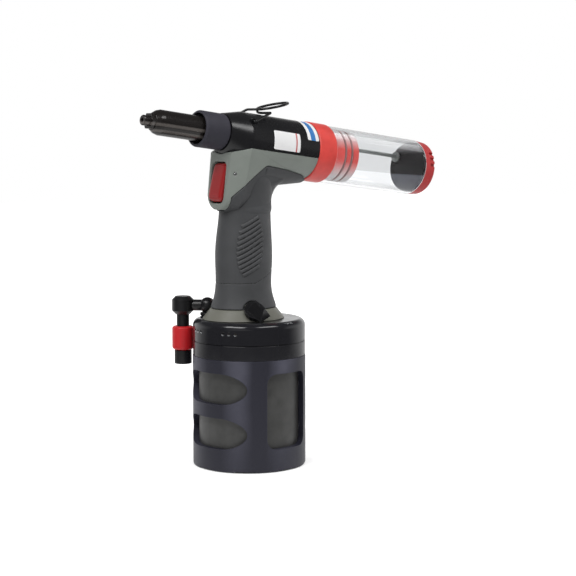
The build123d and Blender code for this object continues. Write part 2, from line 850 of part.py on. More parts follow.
with BuildPart() as rod_gland_seal:
    turn(upright_ring(
        intensifier_radius + running, intensifier_radius + gland_groove_depth - slip,
        gland_seal_low + slip, gland_seal_low + gland_groove_height - slip,
    ))
rod_gland_seal.part.label = "rod_gland_seal"
export_step(rod_gland_seal.part, "parts/rod_gland_seal.step")

with BuildPart() as pressure_tube:
    turn(upright_ring(tube_bore, tube_radius, gland_top, tube_top))
pressure_tube.part.label = "pressure_tube"
export_step(pressure_tube.part, "parts/pressure_tube.step")

# Main air valve: sleeve, spool and spring
valve_axis_point = Vector(valve_place, 0, head_top)
valve_side = Plane(origin=(valve_place, 0, 0), x_dir=(1, 0, 0), z_dir=(0, -1, 0))
valve_axis = Axis((valve_place, 0, 0), (0, 0, 1))
spool_low = head_top + valve_spring_height + seat
spool_top = lid_inner_top - seat
with BuildPart() as valve_sleeve:
    turn(
        upright_ring(valve_spool_radius + running, valve_sleeve_radius, head_top, lid_inner_top),
        valve_side, valve_axis,
    )
valve_sleeve.part.label = "valve_sleeve"
export_step(valve_sleeve.part, "parts/valve_sleeve.step")

with BuildPart() as valve_spool:
    turn(upright_ring(0, valve_spool_radius, spool_low, spool_top), valve_side, valve_axis)
    for groove_place in (1, 2):
        groove_middle = spool_low + (spool_top - spool_low) * groove_place / 3
        turn(
            upright_ring(
                valve_spool_radius - spool_groove_depth, valve_spool_radius + slip,
                groove_middle - spool_groove_width / 2, groove_middle + spool_groove_width / 2,
            ),
            valve_side, valve_axis, mode=Mode.SUBTRACT,
        )
valve_spool.part.label = "valve_spool"
export_step(valve_spool.part, "parts/valve_spool.step")

with BuildPart() as valve_spring:
    coil(
        valve_axis_point + Vector(0, 0, slip), Vector(0, 0, 1), valve_spring_height,
        valve_spring_radius, valve_spring_wire / 2, valve_spring_turns,
    )
valve_spring.part.label = "valve_spring"
export_step(valve_spring.part, "parts/valve_spring.step")

# Handle casing and rubber grip share these solids
def grip_loft(inset, mode=Mode.ADD):
    """The grip from the skirt up into the housing, its section drawn in by an inset."""
    sections = []
    foot = (skirt_height,) + skirt_top
    for rise, centre, half_depth, half_width in (foot,) + grip_stations:
        with BuildSketch(Plane.XY.offset(lid_top + rise)) as section_sketch:
            with Locations((centre, 0)):
                Ellipse(half_depth - inset, half_width - inset)
        sections.append(section_sketch.sketch)
    loft(sections, mode=mode)


def housing_section(place, shape, inset):
    """Section of the trigger housing: straight sides that lean in, closed by half an ellipse."""
    top_half, foot_half, top, side_depth, foot_depth = shape
    foot_level = top - side_depth
    with BuildSketch(nose_station(place)) as section_sketch:
        with BuildLine():
            Line((-(foot_half - inset), foot_level), (-(top_half - inset), top))
            Line((-(top_half - inset), top), (top_half - inset, top))
            Line((top_half - inset, top), (foot_half - inset, foot_level))
            EllipticalCenterArc(
                (0, foot_level), foot_half - inset, foot_depth - inset, start_angle=180, arc_size=180
            )
        make_face()
    return section_sketch.sketch


def housing_loft(inset, mode=Mode.ADD):
    """The trigger housing from behind the grip to its front face."""
    loft(
        [
            housing_section(housing_rear_place + inset, housing_rear, inset),
            housing_section(housing_facet_place, housing_facet, inset),
            housing_section(housing_front_place, housing_front, inset),
        ],
        ruled=True,
        mode=mode,
    )


def side_prism(points, half_width, mode=Mode.ADD):
    """A polygon in the tool's side view, given as X and Z, pulled to both sides."""
    with BuildSketch(Plane.XZ) as side_sketch:
        with BuildLine():
            Polyline(*points, close=True)
        make_face()
    extrude(side_sketch.sketch, amount=half_width, both=True, mode=mode)


def barrel_space(gap, mode):
    """Room for the barrel's lower half and its front cone."""
    collector_turn(
        lying_ring(0, barrel_core_radius + gap, barrel_rear_place - slip, cone_rear_place + slip), mode=mode
    )
    with BuildSketch(collector_station(cone_rear_place)) as cone_rear:
        Circle(barrel_radius + gap)
    with BuildSketch(nose_station(barrel_front_place)) as cone_front:
        Circle(barrel_front_radius + gap)
    loft([cone_rear.sketch, cone_front.sketch], mode=mode)


def rubber_region(gap):
    """Side view of the part of the handle that rubber covers, drawn larger by a gap."""
    low = lid_top + skirt_height - gap
    chin_low = nose_axis_height - chin_low_drop + gap
    chin_corner = nose_axis_height - chin_corner_drop + gap
    outline = [
        (rubber_edge[-1][0], low),
        (rubber_reach, low),
        (rubber_reach, chin_low),
        (chin_rear + gap, chin_low),
        (chin_rear + gap, chin_corner),
    ]
    for place, drop in rubber_edge:
        outline.append((place, nose_axis_height - drop + gap))
    return outline


def switch_recess():
    """Room for the vacuum switch where its knob sinks into the handle."""
    with BuildSketch(switch_plane) as recess:
        Circle(switch_radius + switch_recess_gap)
    extrude(recess.sketch, amount=3 * switch_radius, mode=Mode.SUBTRACT)


core_inset = rubber_thickness + slip
region_half_width = 2 * barrel_radius
trigger_pin_point = head_point(trigger_pin_place, 0, -trigger_pin_drop)
trigger_valve_line = nose_origin - head_up * trigger_valve_drop

with BuildPart() as handle_casing:
    housing_loft(0)
    front_rim = handle_casing.faces().sort_by(nose_axis)[-1].edges()
    fillet(front_rim, housing_front_round)
    side_prism(rubber_region(rubber_gap), region_half_width, mode=Mode.SUBTRACT)
    with BuildSketch(collector_station(barrel_rear_place)):
        Circle(barrel_radius)
        with Locations((0, barrel_radius - seam_drop)):
            Rectangle(2 * barrel_radius, 2 * barrel_radius, mode=Mode.SUBTRACT)
    extrude(amount=cone_rear_place - barrel_rear_place)
    housing_loft(core_inset)
    grip_loft(core_inset)
    with BuildSketch(Plane.XY.offset(lid_top)):
        with Locations((skirt_top[0], 0)):
            Ellipse(skirt_top[1] - core_inset, skirt_top[2] - core_inset)
    extrude(amount=skirt_height)
    with BuildSketch(Plane.XY.offset(lid_top)):
        with Locations((skirt_bottom[0], 0)):
            Ellipse(skirt_bottom[1], skirt_bottom[2])
    with BuildSketch(Plane.XY.offset(lid_top + skirt_height - rubber_gap)):
        with Locations((skirt_top[0], 0)):
            Ellipse(skirt_top[1], skirt_top[2])
    loft()
    turn(
        upright_ring(0, inlet_room, lid_top, lid_top + inlet_axis_rise + inlet_ball_radius),
        inlet_side, inlet_axis, mode=Mode.SUBTRACT,
    )
    barrel_space(slip, Mode.SUBTRACT)
    with BuildSketch(nose_station(housing_front_place - barrel_radius)):
        with Locations((0, barrel_radius - seam_drop - collector_drop)):
            Rectangle(4 * barrel_radius, 2 * barrel_radius)
    extrude(amount=-2 * barrel_radius, mode=Mode.SUBTRACT)
    nose_turn(
        lying_ring(0, sleeve_radius + seat, barrel_front_place - slip, nose_tip_place), mode=Mode.SUBTRACT
    )
    turn(upright_ring(0, tube_radius + slip, 0, nose_axis_height), mode=Mode.SUBTRACT)
    with BuildSketch(nose_station(nose_tip_place)):
        with Locations((0, (pocket_top + pocket_bottom) / 2)):
            RectangleRounded(trigger_width + 2 * trigger_side_gap, pocket_top - pocket_bottom, pocket_round)
    extrude(amount=pocket_place - nose_tip_place, mode=Mode.SUBTRACT)
    with BuildSketch(nose_station(pocket_place + slip)):
        with Locations((0, -trigger_valve_drop)):
            Circle(trigger_valve_radius + slip)
    extrude(amount=trigger_valve_rear - pocket_place - slip, mode=Mode.SUBTRACT)
    with BuildSketch(Plane(origin=trigger_pin_point, x_dir=along, z_dir=(0, 1, 0))):
        Circle(trigger_pin_radius + slip)
    extrude(amount=2 * barrel_radius, both=True, mode=Mode.SUBTRACT)
    with BuildSketch(Plane.XY.offset(lid_top)):
        with PolarLocations(handle_screw_circle, handle_screw_count, start_angle=handle_screw_start):
            Circle(handle_screw_radius + slip)
    extrude(amount=handle_screw_bite + slip, mode=Mode.SUBTRACT)
    switch_recess()
    with BuildSketch(switch_plane):
        Circle(switch_stem_radius + running)
    extrude(amount=-switch_stem_length - seat, mode=Mode.SUBTRACT)
handle_casing.part.label = "handle_casing"
export_step(handle_casing.part, "parts/handle_casing.step")

# Raised ribs on both sides of the grip
with BuildPart() as rib_band:
    grip_loft(-rib_height)
    with BuildSketch(Plane.XZ):
        for rib in range(rib_count):
            reach = sin(pi * (rib + 1) / (rib_count + 1)) ** rib_fullness
            with Locations((rib_middle, lid_top + rib_low + rib * rib_pitch)):
                Rectangle(2 * rib_half_length * reach, rib_width, rotation=-rib_slope)
    extrude(amount=2 * barrel_radius, both=True, mode=Mode.INTERSECT)

# Groove around the grip below the ribs
seam_low = lid_top + grip_seam_height
with BuildPart() as grip_seam:
    side_prism(
        [
            (rubber_reach, seam_low),
            (grip_seam_bend, seam_low),
            (grip_seam_rear, seam_low + grip_seam_rise),
            (grip_seam_rear, seam_low + grip_seam_rise + grip_seam_width),
            (grip_seam_bend, seam_low + grip_seam_width),
            (rubber_reach, seam_low + grip_seam_width),
        ],
        region_half_width,
    )
    grip_loft(grip_seam_depth, mode=Mode.SUBTRACT)

# Hollow back of the grip: ovals whose rear ends follow a quarter round into the tang
flare_stations = [
    (flare_low - flare_lead, flare_rear + rubber_thickness, flare_half_width - rubber_thickness)
]
for step in range(flare_steps + 1):
    flare_turn = radians(step * flare_step_angle)
    flare_back = flare_rear - flare_radius * (1 - cos(flare_turn))
    flare_half = flare_half_width + (flare_top_half_width - flare_half_width) * step / flare_steps
    flare_stations.append((flare_low + flare_radius * sin(flare_turn), flare_back, flare_half))
flare_stations.append((flare_top, flare_stations[-1][1], flare_top_half_width))
with BuildPart() as grip_flare:
    for flare_rise, flare_back, flare_half in flare_stations:
        with BuildSketch(Plane.XY.offset(lid_top + flare_rise)):
            with Locations(((flare_front + flare_back) / 2, 0)):
                Ellipse((flare_front - flare_back) / 2, flare_half)
    loft()

with BuildPart() as rubber_grip:
    housing_loft(0)
    grip_loft(0)
    add(grip_flare.part)
    with BuildSketch(nose_station(tang_front_place)):
        with Locations((0, -tang_front[0])):
            Circle(tang_front[1])
    with BuildSketch(nose_station(barrel_rear_place)):
        with Locations((0, -tang_rear[0])):
            Circle(tang_rear[1])
    loft()
    side_prism(rubber_region(0), region_half_width, mode=Mode.INTERSECT)
    add(rib_band.part)
    add(grip_seam.part, mode=Mode.SUBTRACT)
    collector_turn(
        lying_ring(0, barrel_radius + slip, 2 * barrel_rear_place, cone_rear_place), mode=Mode.SUBTRACT
    )
    housing_loft(rubber_thickness, mode=Mode.SUBTRACT)
    grip_loft(rubber_thickness, mode=Mode.SUBTRACT)
    with BuildSketch(nose_station(nose_tip_place)):
        with Locations((0, (pocket_top + pocket_bottom) / 2)):
            RectangleRounded(trigger_width + 2 * trigger_side_gap, pocket_top - pocket_bottom, pocket_round)
    extrude(amount=pocket_place - nose_tip_place, mode=Mode.SUBTRACT)
    switch_recess()
rubber_grip.part.label = "rubber_grip"
export_step(rubber_grip.part, "parts/rubber_grip.step")

# Trigger: a lever that rocks on the cross pin, its top sunk and its foot standing proud
with BuildPart() as trigger:
    with BuildSketch(nose_station(trigger_rear_place)):
        with Locations((0, (trigger_top + trigger_bottom) / 2)):
            RectangleRounded(trigger_width, trigger_top - trigger_bottom, trigger_corner)
    extrude(amount=trigger_front_place + trigger_round - trigger_rear_place)
    with BuildSketch(nose_side):
        with BuildLine():
            face_line = Line(
                (trigger_top_place, trigger_top), (trigger_front_place, trigger_bottom + 2 * trigger_round)
            )
            foot_arc = TangentArc(
                face_line @ 1, (trigger_front_place - trigger_round, trigger_bottom), tangent=face_line % 1
            )
            Polyline(
                foot_arc @ 1,
                (trigger_rear_place, trigger_bottom),
                (trigger_rear_place, trigger_top),
                (trigger_top_place, trigger_top),
            )
        make_face()
    extrude(amount=trigger_width, both=True, mode=Mode.INTERSECT)
    front_edges = trigger.edges().filter_by(
        lambda edge: (edge.center() - nose_origin).dot(along) > trigger_rear_place + trigger_round
        and abs(edge.tangent_at(0.5).dot(along)) < trigger_edge_slope
    )
    fillet(front_edges, trigger_edge)
    with BuildSketch(Plane(origin=trigger_pin_point, x_dir=along, z_dir=(0, 1, 0))):
        Circle(trigger_pin_radius + running)
    extrude(amount=trigger_width, both=True, mode=Mode.SUBTRACT)
trigger.part.label = "trigger"
export_step(trigger.part, "parts/trigger.step")

with BuildPart() as trigger_pin:
    with BuildSketch(Plane(origin=trigger_pin_point, x_dir=along, z_dir=(0, 1, 0))):
        Circle(trigger_pin_radius)
    extrude(amount=trigger_pin_reach, both=True)
trigger_pin.part.label = "trigger_pin"
export_step(trigger_pin.part, "parts/trigger_pin.step")

# Trigger valve: body, stem and return spring on one line behind the trigger
valve_line_side = Plane(origin=trigger_valve_line, x_dir=along, z_dir=(0, -1, 0))
valve_line_axis = Axis(trigger_valve_line, along)
with BuildPart() as trigger_valve_body:
    turn(
        [
            (trigger_valve_rear, 0),
            (trigger_valve_rear, trigger_valve_radius),
            (pocket_place, trigger_valve_radius),
            (pocket_place, trigger_spring_well),
            (trigger_well_place, trigger_spring_well),
            (trigger_well_place, trigger_stem_radius + running),
            (trigger_stem_rear - trigger_stem_travel - seat, trigger_stem_radius + running),
            (trigger_stem_rear - trigger_stem_travel - seat, 0),
        ],
        valve_line_side, valve_line_axis,
    )
trigger_valve_body.part.label = "trigger_valve_body"
export_step(trigger_valve_body.part, "parts/trigger_valve_body.step")

with BuildPart() as trigger_valve_stem:
    turn(
        [
            (trigger_stem_rear, 0),
            (trigger_stem_rear, trigger_stem_radius),
            (stem_collar_place, trigger_stem_radius),
            (stem_collar_place, stem_collar_radius),
            (stem_collar_place + stem_collar_width, stem_collar_radius),
            (stem_collar_place + stem_collar_width, trigger_stem_radius),
            (trigger_rear_place - seat - trigger_stem_tip, trigger_stem_radius),
            (trigger_rear_place - seat, trigger_stem_radius - trigger_stem_tip),
            (trigger_rear_place - seat, 0),
        ],
        valve_line_side, valve_line_axis,
    )
trigger_valve_stem.part.label = "trigger_valve_stem"
export_step(trigger_valve_stem.part, "parts/trigger_valve_stem.step")

with BuildPart() as trigger_spring:
    coil(
        trigger_valve_line + along * (trigger_well_place + slip), along,
        stem_collar_place - trigger_well_place - 2 * slip,
        trigger_spring_radius, trigger_spring_wire / 2, trigger_spring_turns,
    )
trigger_spring.part.label = "trigger_spring"
export_step(trigger_spring.part, "parts/trigger_spring.step")

# Vacuum switch: round knob with a wedge bar that points down, its end leaning back
bar_way = (
    switch_plane.x_dir * cos(radians(switch_bar_turn)) - switch_plane.y_dir * sin(radians(switch_bar_turn))
)
bar_foot = switch_plane.origin + switch_out * (switch_thickness - slip)
bar_rear = Plane(
    origin=bar_foot + bar_way * (switch_bar_reach - switch_bar_length),
    x_dir=switch_out.cross(bar_way), z_dir=bar_way,
)
bar_hip = Plane(
    origin=bar_foot + bar_way * switch_bar_reach,
    x_dir=switch_out.cross(bar_way),
    z_dir=bar_way * cos(radians(switch_bar_hip)) + switch_out * sin(radians(switch_bar_hip)),
)
with BuildPart() as vacuum_switch:
    with BuildSketch(bar_rear):
        with BuildLine():
            Polyline(
                (-switch_bar_width / 2, 0),
                (switch_bar_width / 2, 0),
                (switch_bar_tip / 2, switch_bar_height),
                (-switch_bar_tip / 2, switch_bar_height),
                close=True,
            )
        make_face()
    extrude(amount=switch_bar_length)
    split(bisect_by=bar_hip, keep=Keep.BOTTOM)
    with BuildSketch(switch_plane.offset(seat)):
        Circle(switch_radius)
    extrude(amount=switch_thickness - seat)
    with BuildSketch(switch_plane.offset(seat)):
        Circle(switch_stem_radius)
    extrude(amount=-switch_stem_length)
vacuum_switch.part.label = "vacuum_switch"
export_step(vacuum_switch.part, "parts/vacuum_switch.step")

# Head barrel: hydraulic cylinder with an eccentric front cone
with BuildPart() as head_barrel:
    with BuildSketch(collector_station(barrel_rear_place)):
        Circle(barrel_radius)
        with Locations((0, -barrel_radius - seam_drop + seat)):
            Rectangle(2 * barrel_radius, 2 * barrel_radius, mode=Mode.SUBTRACT)
        Circle(barrel_core_radius)
    extrude(amount=cone_rear_place - barrel_rear_place)
    with BuildSketch(collector_station(cone_rear_place)):
        Circle(barrel_radius)
    with BuildSketch(nose_station(barrel_front_place)):
        Circle(barrel_front_radius)
    loft()
    nose_turn(lying_ring(0, pull_bore, barrel_rear_place, pull_front_place), mode=Mode.SUBTRACT)
    nose_turn(
        lying_ring(0, rod_bush_radius + slip, pull_front_place, gland_front_place), mode=Mode.SUBTRACT
    )
    nose_turn(
        lying_ring(0, casing_radius + slip, gland_front_place, barrel_front_place), mode=Mode.SUBTRACT
    )
    turn(upright_ring(0, tube_radius + slip, 0, tube_top), mode=Mode.SUBTRACT)
    turn(upright_ring(0, oil_port_radius, 0, nose_axis_height), mode=Mode.SUBTRACT)
    for side_sign in (-1, 1):
        pivot_point = head_point(hanger_pivot_place, side_sign * hanger_pin_inner, hanger_pivot_rise)
        with BuildSketch(Plane(origin=pivot_point, x_dir=along, z_dir=(0, side_sign, 0))):
            Circle(hanger_wire + slip)
        extrude(amount=barrel_radius, mode=Mode.SUBTRACT)
    with BuildSketch(oil_screw_plane):
        Circle(oil_screw_radius + slip)
    extrude(amount=-oil_screw_depth, mode=Mode.SUBTRACT)
    with BuildSketch(oil_screw_plane):
        Circle(oil_screw_head_radius + slip)
    extrude(amount=-oil_screw_head, mode=Mode.SUBTRACT)
head_barrel.part.label = "head_barrel"
export_step(head_barrel.part, "parts/head_barrel.step")

with BuildPart() as oil_screw:
    with BuildSketch(oil_screw_plane):
        Circle(oil_screw_head_radius)
        RegularPolygon(oil_screw_key, 6, mode=Mode.SUBTRACT)
    extrude(amount=-oil_screw_head / 2)
    with BuildSketch(oil_screw_plane.offset(-oil_screw_head / 2)):
        Circle(oil_screw_head_radius)
    extrude(amount=-oil_screw_head / 2)
    with BuildSketch(oil_screw_plane.offset(-oil_screw_head)):
        Circle(oil_screw_radius)
    extrude(amount=oil_screw_head - oil_screw_depth)
oil_screw.part.label = "oil_screw"
export_step(oil_screw.part, "parts/oil_screw.step")

# Bush and seal around the pulling rod
bush_groove_rear = pull_front_place + bush_groove_offset
with BuildPart() as rod_bush:
    nose_turn(lying_ring(pull_rod_radius + running, rod_bush_radius, pull_front_place, gland_front_place))
    nose_turn(
        lying_ring(
            pull_rod_radius, pull_rod_radius + running + bush_groove_depth,
            bush_groove_rear, bush_groove_rear + bush_groove_width,
        ),
        mode=Mode.SUBTRACT,
    )
rod_bush.part.label = "rod_bush"
export_step(rod_bush.part, "parts/rod_bush.step")

with BuildPart() as rod_seal:
    nose_turn(lying_ring(
        pull_rod_radius + running, pull_rod_radius + bush_groove_depth - slip,
        bush_groove_rear + slip, bush_groove_rear + bush_groove_width - slip,
    ))
rod_seal.part.label = "rod_seal"
export_step(rod_seal.part, "parts/rod_seal.step")

# Pull piston with its rod in front, its tail behind and a passage for spent mandrels
piston_rear = pull_piston_front - pull_piston_length
pull_groove_front = pull_piston_front - pull_groove_offset
with BuildPart() as pull_piston:
    nose_turn([
        (pull_tail_place, mandrel_passage),
        (guide_thread_front, mandrel_passage),
        (guide_thread_front, guide_thread_radius),
        (guide_rear_place, guide_thread_radius),
        (guide_rear_place, pull_rod_radius),
        (pull_piston_front, pull_rod_radius),
        (pull_piston_front, pull_bore - running),
        (pull_groove_front, pull_bore - running),
        (pull_groove_front, pull_bore - running - pull_groove_depth),
        (pull_groove_front - pull_groove_width, pull_bore - running - pull_groove_depth),
        (pull_groove_front - pull_groove_width, pull_bore - running),
        (piston_rear, pull_bore - running),
        (piston_rear, pull_tail_radius),
        (pull_tail_place, pull_tail_radius),
    ])
pull_piston.part.label = "pull_piston"
export_step(pull_piston.part, "parts/pull_piston.step")

with BuildPart() as pull_piston_seal:
    nose_turn(lying_ring(
        pull_bore - pull_groove_depth + slip, pull_bore - running,
        pull_groove_front - pull_groove_width + slip, pull_groove_front - slip,
    ))
pull_piston_seal.part.label = "pull_piston_seal"
export_step(pull_piston_seal.part, "parts/pull_piston_seal.step")

plug_front = barrel_rear_place + rear_plug_length
with BuildPart() as return_spring:
    coil(
        nose_origin + along * (plug_front + slip), along, piston_rear - plug_front - 2 * slip,
        return_spring_radius, return_spring_wire / 2, return_spring_turns,
    )
return_spring.part.label = "return_spring"
export_step(return_spring.part, "parts/return_spring.step")

plug_groove_middle = barrel_rear_place + rear_plug_length / 2
with BuildPart() as rear_plug:
    nose_turn(lying_ring(pull_tail_radius + running, pull_bore - slip, barrel_rear_place, plug_front))
    nose_turn(
        lying_ring(
            pull_tail_radius, pull_tail_radius + running + plug_groove_depth,
            plug_groove_middle - plug_groove_width / 2, plug_groove_middle + plug_groove_width / 2,
        ),
        mode=Mode.SUBTRACT,
    )
rear_plug.part.label = "rear_plug"
export_step(rear_plug.part, "parts/rear_plug.step")

with BuildPart() as rear_plug_seal:
    nose_turn(lying_ring(
        pull_tail_radius + running, pull_tail_radius + plug_groove_depth - slip,
        plug_groove_middle - plug_groove_width / 2 + slip,
        plug_groove_middle + plug_groove_width / 2 - slip,
    ))
rear_plug_seal.part.label = "rear_plug_seal"
export_step(rear_plug_seal.part, "parts/rear_plug_seal.step")

# Nose: casing, lock nut, rubber sleeve and nosepiece
with BuildPart() as nose_casing:
    nose_turn([
        (casing_rear_place, casing_bore),
        (nose_thread_end, casing_bore),
        (nose_thread_end, nose_thread_radius + slip),
        (casing_front_place, nose_thread_radius + slip),
        (casing_front_place, casing_front_radius),
        ((casing_front_place + casing_shoulder_place) / 2, casing_mid_radius),
        (casing_shoulder_place, casing_radius),
        (casing_rear_place, casing_radius),
    ])
nose_casing.part.label = "nose_casing"
export_step(nose_casing.part, "parts/nose_casing.step")

with BuildPart() as nose_nut:
    nose_turn(lying_ring(casing_radius + slip, nut_ring_radius, barrel_front_place, nut_ring_front_place))
nose_nut.part.label = "nose_nut"
export_step(nose_nut.part, "parts/nose_nut.step")

with BuildPart() as nose_sleeve:
    nose_turn([
        (barrel_front_place, nut_ring_radius + slip),
        (sleeve_front_place, nut_ring_radius + slip),
        (sleeve_front_place, sleeve_radius - sleeve_edge),
        (sleeve_front_place - sleeve_edge, sleeve_radius),
        (barrel_front_place + sleeve_edge, sleeve_radius),
        (barrel_front_place, sleeve_radius - sleeve_edge),
    ])
nose_sleeve.part.label = "nose_sleeve"
export_step(nose_sleeve.part, "parts/nose_sleeve.step")

with BuildPart() as nosepiece:
    nose_turn([
        (nosepiece_rear_place, tip_hole),
        (nose_tip_place, tip_hole),
        (nose_tip_place, tip_radius - tip_edge),
        (nose_tip_place - tip_edge, tip_radius),
        (casing_front_place, tip_radius),
        (casing_front_place, nose_thread_radius),
        (nose_thread_end, nose_thread_radius),
        (nose_thread_end, nosepiece_rear_radius),
        (nosepiece_rear_place, nosepiece_rear_radius),
    ])
    with BuildSketch(nose_station(casing_front_place)):
        RegularPolygon(hex_across_flats / 2, 6, major_radius=False)
        Circle(tip_hole, mode=Mode.SUBTRACT)
    extrude(amount=hex_front_place - casing_front_place)
nosepiece.part.label = "nosepiece"
export_step(nosepiece.part, "parts/nosepiece.step")

# Jaws in their conical guide
guide_chamber_radius = guide_front_opening + (guide_front_place - guide_chamber_place) * jaw_slope
with BuildPart() as jaw_guide:
    nose_turn([
        (guide_front_place, guide_front_opening),
        (guide_front_place, casing_bore - slip),
        (guide_rear_place, casing_bore - slip),
        (guide_rear_place, guide_thread_radius + slip),
        (guide_thread_front, guide_thread_radius + slip),
        (guide_thread_front, guide_chamber_radius),
        (guide_chamber_place, guide_chamber_radius),
    ])
jaw_guide.part.label = "jaw_guide"
export_step(jaw_guide.part, "parts/jaw_guide.step")


def jaw_outer_radius(place):
    return guide_front_opening + (guide_front_place - place) * jaw_slope - seat


def make_jaw(middle_angle):
    """One jaw: a sector of a cone, turned about the nose axis around its middle angle."""
    start_direction = radial_direction(middle_angle - jaw_arc / 2)
    start_plane = Plane(origin=nose_origin, x_dir=along, z_dir=along.cross(start_direction))
    with BuildSketch(start_plane) as jaw_section:
        with BuildLine():
            Polyline(
                (jaw_rear_place, jaw_grip_radius),
                (jaw_front_place, jaw_grip_radius),
                (jaw_front_place, jaw_outer_radius(jaw_front_place)),
                (jaw_rear_place, jaw_outer_radius(jaw_rear_place)),
                close=True,
            )
        make_face()
    revolve(jaw_section.sketch, axis=nose_axis, revolution_arc=jaw_arc)


with BuildPart() as jaw_top:
    make_jaw(0)
jaw_top.part.label = "jaw_top"
export_step(jaw_top.part, "parts/jaw_top.step")

with BuildPart() as jaw_right:
    make_jaw(360 / jaw_count)
jaw_right.part.label = "jaw_right"
export_step(jaw_right.part, "parts/jaw_right.step")

with BuildPart() as jaw_left:
    make_jaw(720 / jaw_count)
jaw_left.part.label = "jaw_left"
export_step(jaw_left.part, "parts/jaw_left.step")

pusher_front = jaw_rear_place - seat
pusher_rear = pusher_front - pusher_length
with BuildPart() as jaw_pusher:
    nose_turn([
        (pusher_rear, mandrel_passage),
        (pusher_front, mandrel_passage),
        (pusher_front, pusher_front_radius),
        (pusher_front - pusher_shoulder, pusher_radius),
        (pusher_rear, pusher_radius),
    ])
jaw_pusher.part.label = "jaw_pusher"
export_step(jaw_pusher.part, "parts/jaw_pusher.step")

with BuildPart() as jaw_spring:
    coil(
        nose_origin + along * (guide_thread_front + slip), along,
        pusher_rear - guide_thread_front - 2 * slip,
        jaw_spring_radius, jaw_spring_wire / 2, jaw_spring_turns,
    )
jaw_spring.part.label = "jaw_spring"
export_step(jaw_spring.part, "parts/jaw_spring.step")

# Mandrel collector: red collar with a spigot, clear bottle, rod, end plug and cap
rod_left = baffle_rod_circle * cos(radians(baffle_rod_angle))
rod_rise = baffle_rod_circle * sin(radians(baffle_rod_angle))
plug_face = bottle_rear_place + plug_inset
with BuildPart() as collector_collar:
    collector_turn([
        (spigot_rear_place, spigot_bore),
        (barrel_rear_place - collar_web, spigot_bore),
        (barrel_rear_place - collar_web, 0),
        (barrel_rear_place, 0),
        (barrel_rear_place, collar_radius - collar_edge),
        (barrel_rear_place - collar_edge, collar_radius),
        (collar_rear_place + collar_edge, collar_radius),
        (collar_rear_place, collar_radius - collar_edge),
        (collar_rear_place, spigot_radius),
        (spigot_rear_place, spigot_radius),
    ])
    for ring_place in spigot_ring_places:
        collector_turn(
            lying_ring(
                bottle_bore - running - 2 * o_ring_section - slip, spigot_radius + slip,
                ring_place - o_ring_section - slip, ring_place + o_ring_section + slip,
            ),
            mode=Mode.SUBTRACT,
        )
    nose_turn(
        lying_ring(0, collar_window, barrel_rear_place - 2 * collar_web, barrel_rear_place), Mode.SUBTRACT
    )
    with BuildSketch(collector_station(spigot_rear_place)):
        with Locations((rod_left, rod_rise)):
            Circle(baffle_rod_radius + slip)
    extrude(amount=baffle_rod_depth, mode=Mode.SUBTRACT)
collector_collar.part.label = "collector_collar"
export_step(collector_collar.part, "parts/collector_collar.step")

with BuildPart() as collar_seals:
    for ring_place in spigot_ring_places:
        o_ring(
            collector_side, collector_axis,
            (ring_place, bottle_bore - running - o_ring_section), o_ring_section,
        )
collar_seals.part.label = "collar_seals"
export_step(collar_seals.part, "parts/collar_seals.step")

with BuildPart() as collector_bottle:
    collector_turn(lying_ring(bottle_bore, bottle_radius, bottle_rear_place, collar_rear_place - slip))
collector_bottle.part.label = "collector_bottle"
export_step(collector_bottle.part, "parts/collector_bottle.step")

with BuildPart() as baffle_rod:
    with BuildSketch(collector_station(plug_face + seat)):
        with Locations((rod_left, rod_rise)):
            Circle(baffle_rod_radius)
    extrude(amount=spigot_rear_place + baffle_rod_depth - slip - plug_face - seat)
    with BuildSketch(collector_station(plug_face + seat)):
        with Locations((rod_left * baffle_boss_shift, rod_rise * baffle_boss_shift)):
            Circle(baffle_boss_radius)
    extrude(amount=baffle_boss_length)
baffle_rod.part.label = "baffle_rod"
export_step(baffle_rod.part, "parts/baffle_rod.step")

with BuildPart() as end_plug:
    collector_turn(lying_ring(0, bottle_bore - slip, plug_face - plug_thickness, plug_face))
end_plug.part.label = "end_plug"
export_step(end_plug.part, "parts/end_plug.step")

with BuildPart() as end_cap:
    with BuildSketch(collector_side):
        with BuildLine():
            Polyline(
                (cap_rear_place + cap_round, cap_rear_radius),
                (bottle_rear_place - slip, bottle_radius),
                (bottle_rear_place - slip, bottle_bore),
                (plug_face - plug_thickness, bottle_bore),
                (plug_face - plug_thickness, 0),
                (cap_rear_place, 0),
                (cap_rear_place, cap_rear_radius - cap_round),
            )
            RadiusArc(
                (cap_rear_place, cap_rear_radius - cap_round),
                (cap_rear_place + cap_round, cap_rear_radius),
                cap_round,
            )
        make_face()
    revolve(axis=collector_axis)
    for group_angle in cap_vent_angles:
        for step in (-1, 0, 1):
            vent_turn = Rotation(0, 0, group_angle + step * cap_vent_spacing)
            vent_plane = collector_station(cap_rear_place) * Location(vent_turn)
            with BuildSketch(vent_plane):
                with Locations((cap_rear_radius, 0)):
                    Rectangle(2 * cap_vent_depth, cap_vent_width)
            extrude(amount=cap_vent_length, mode=Mode.SUBTRACT)
end_cap.part.label = "end_cap"
export_step(end_cap.part, "parts/end_cap.step")

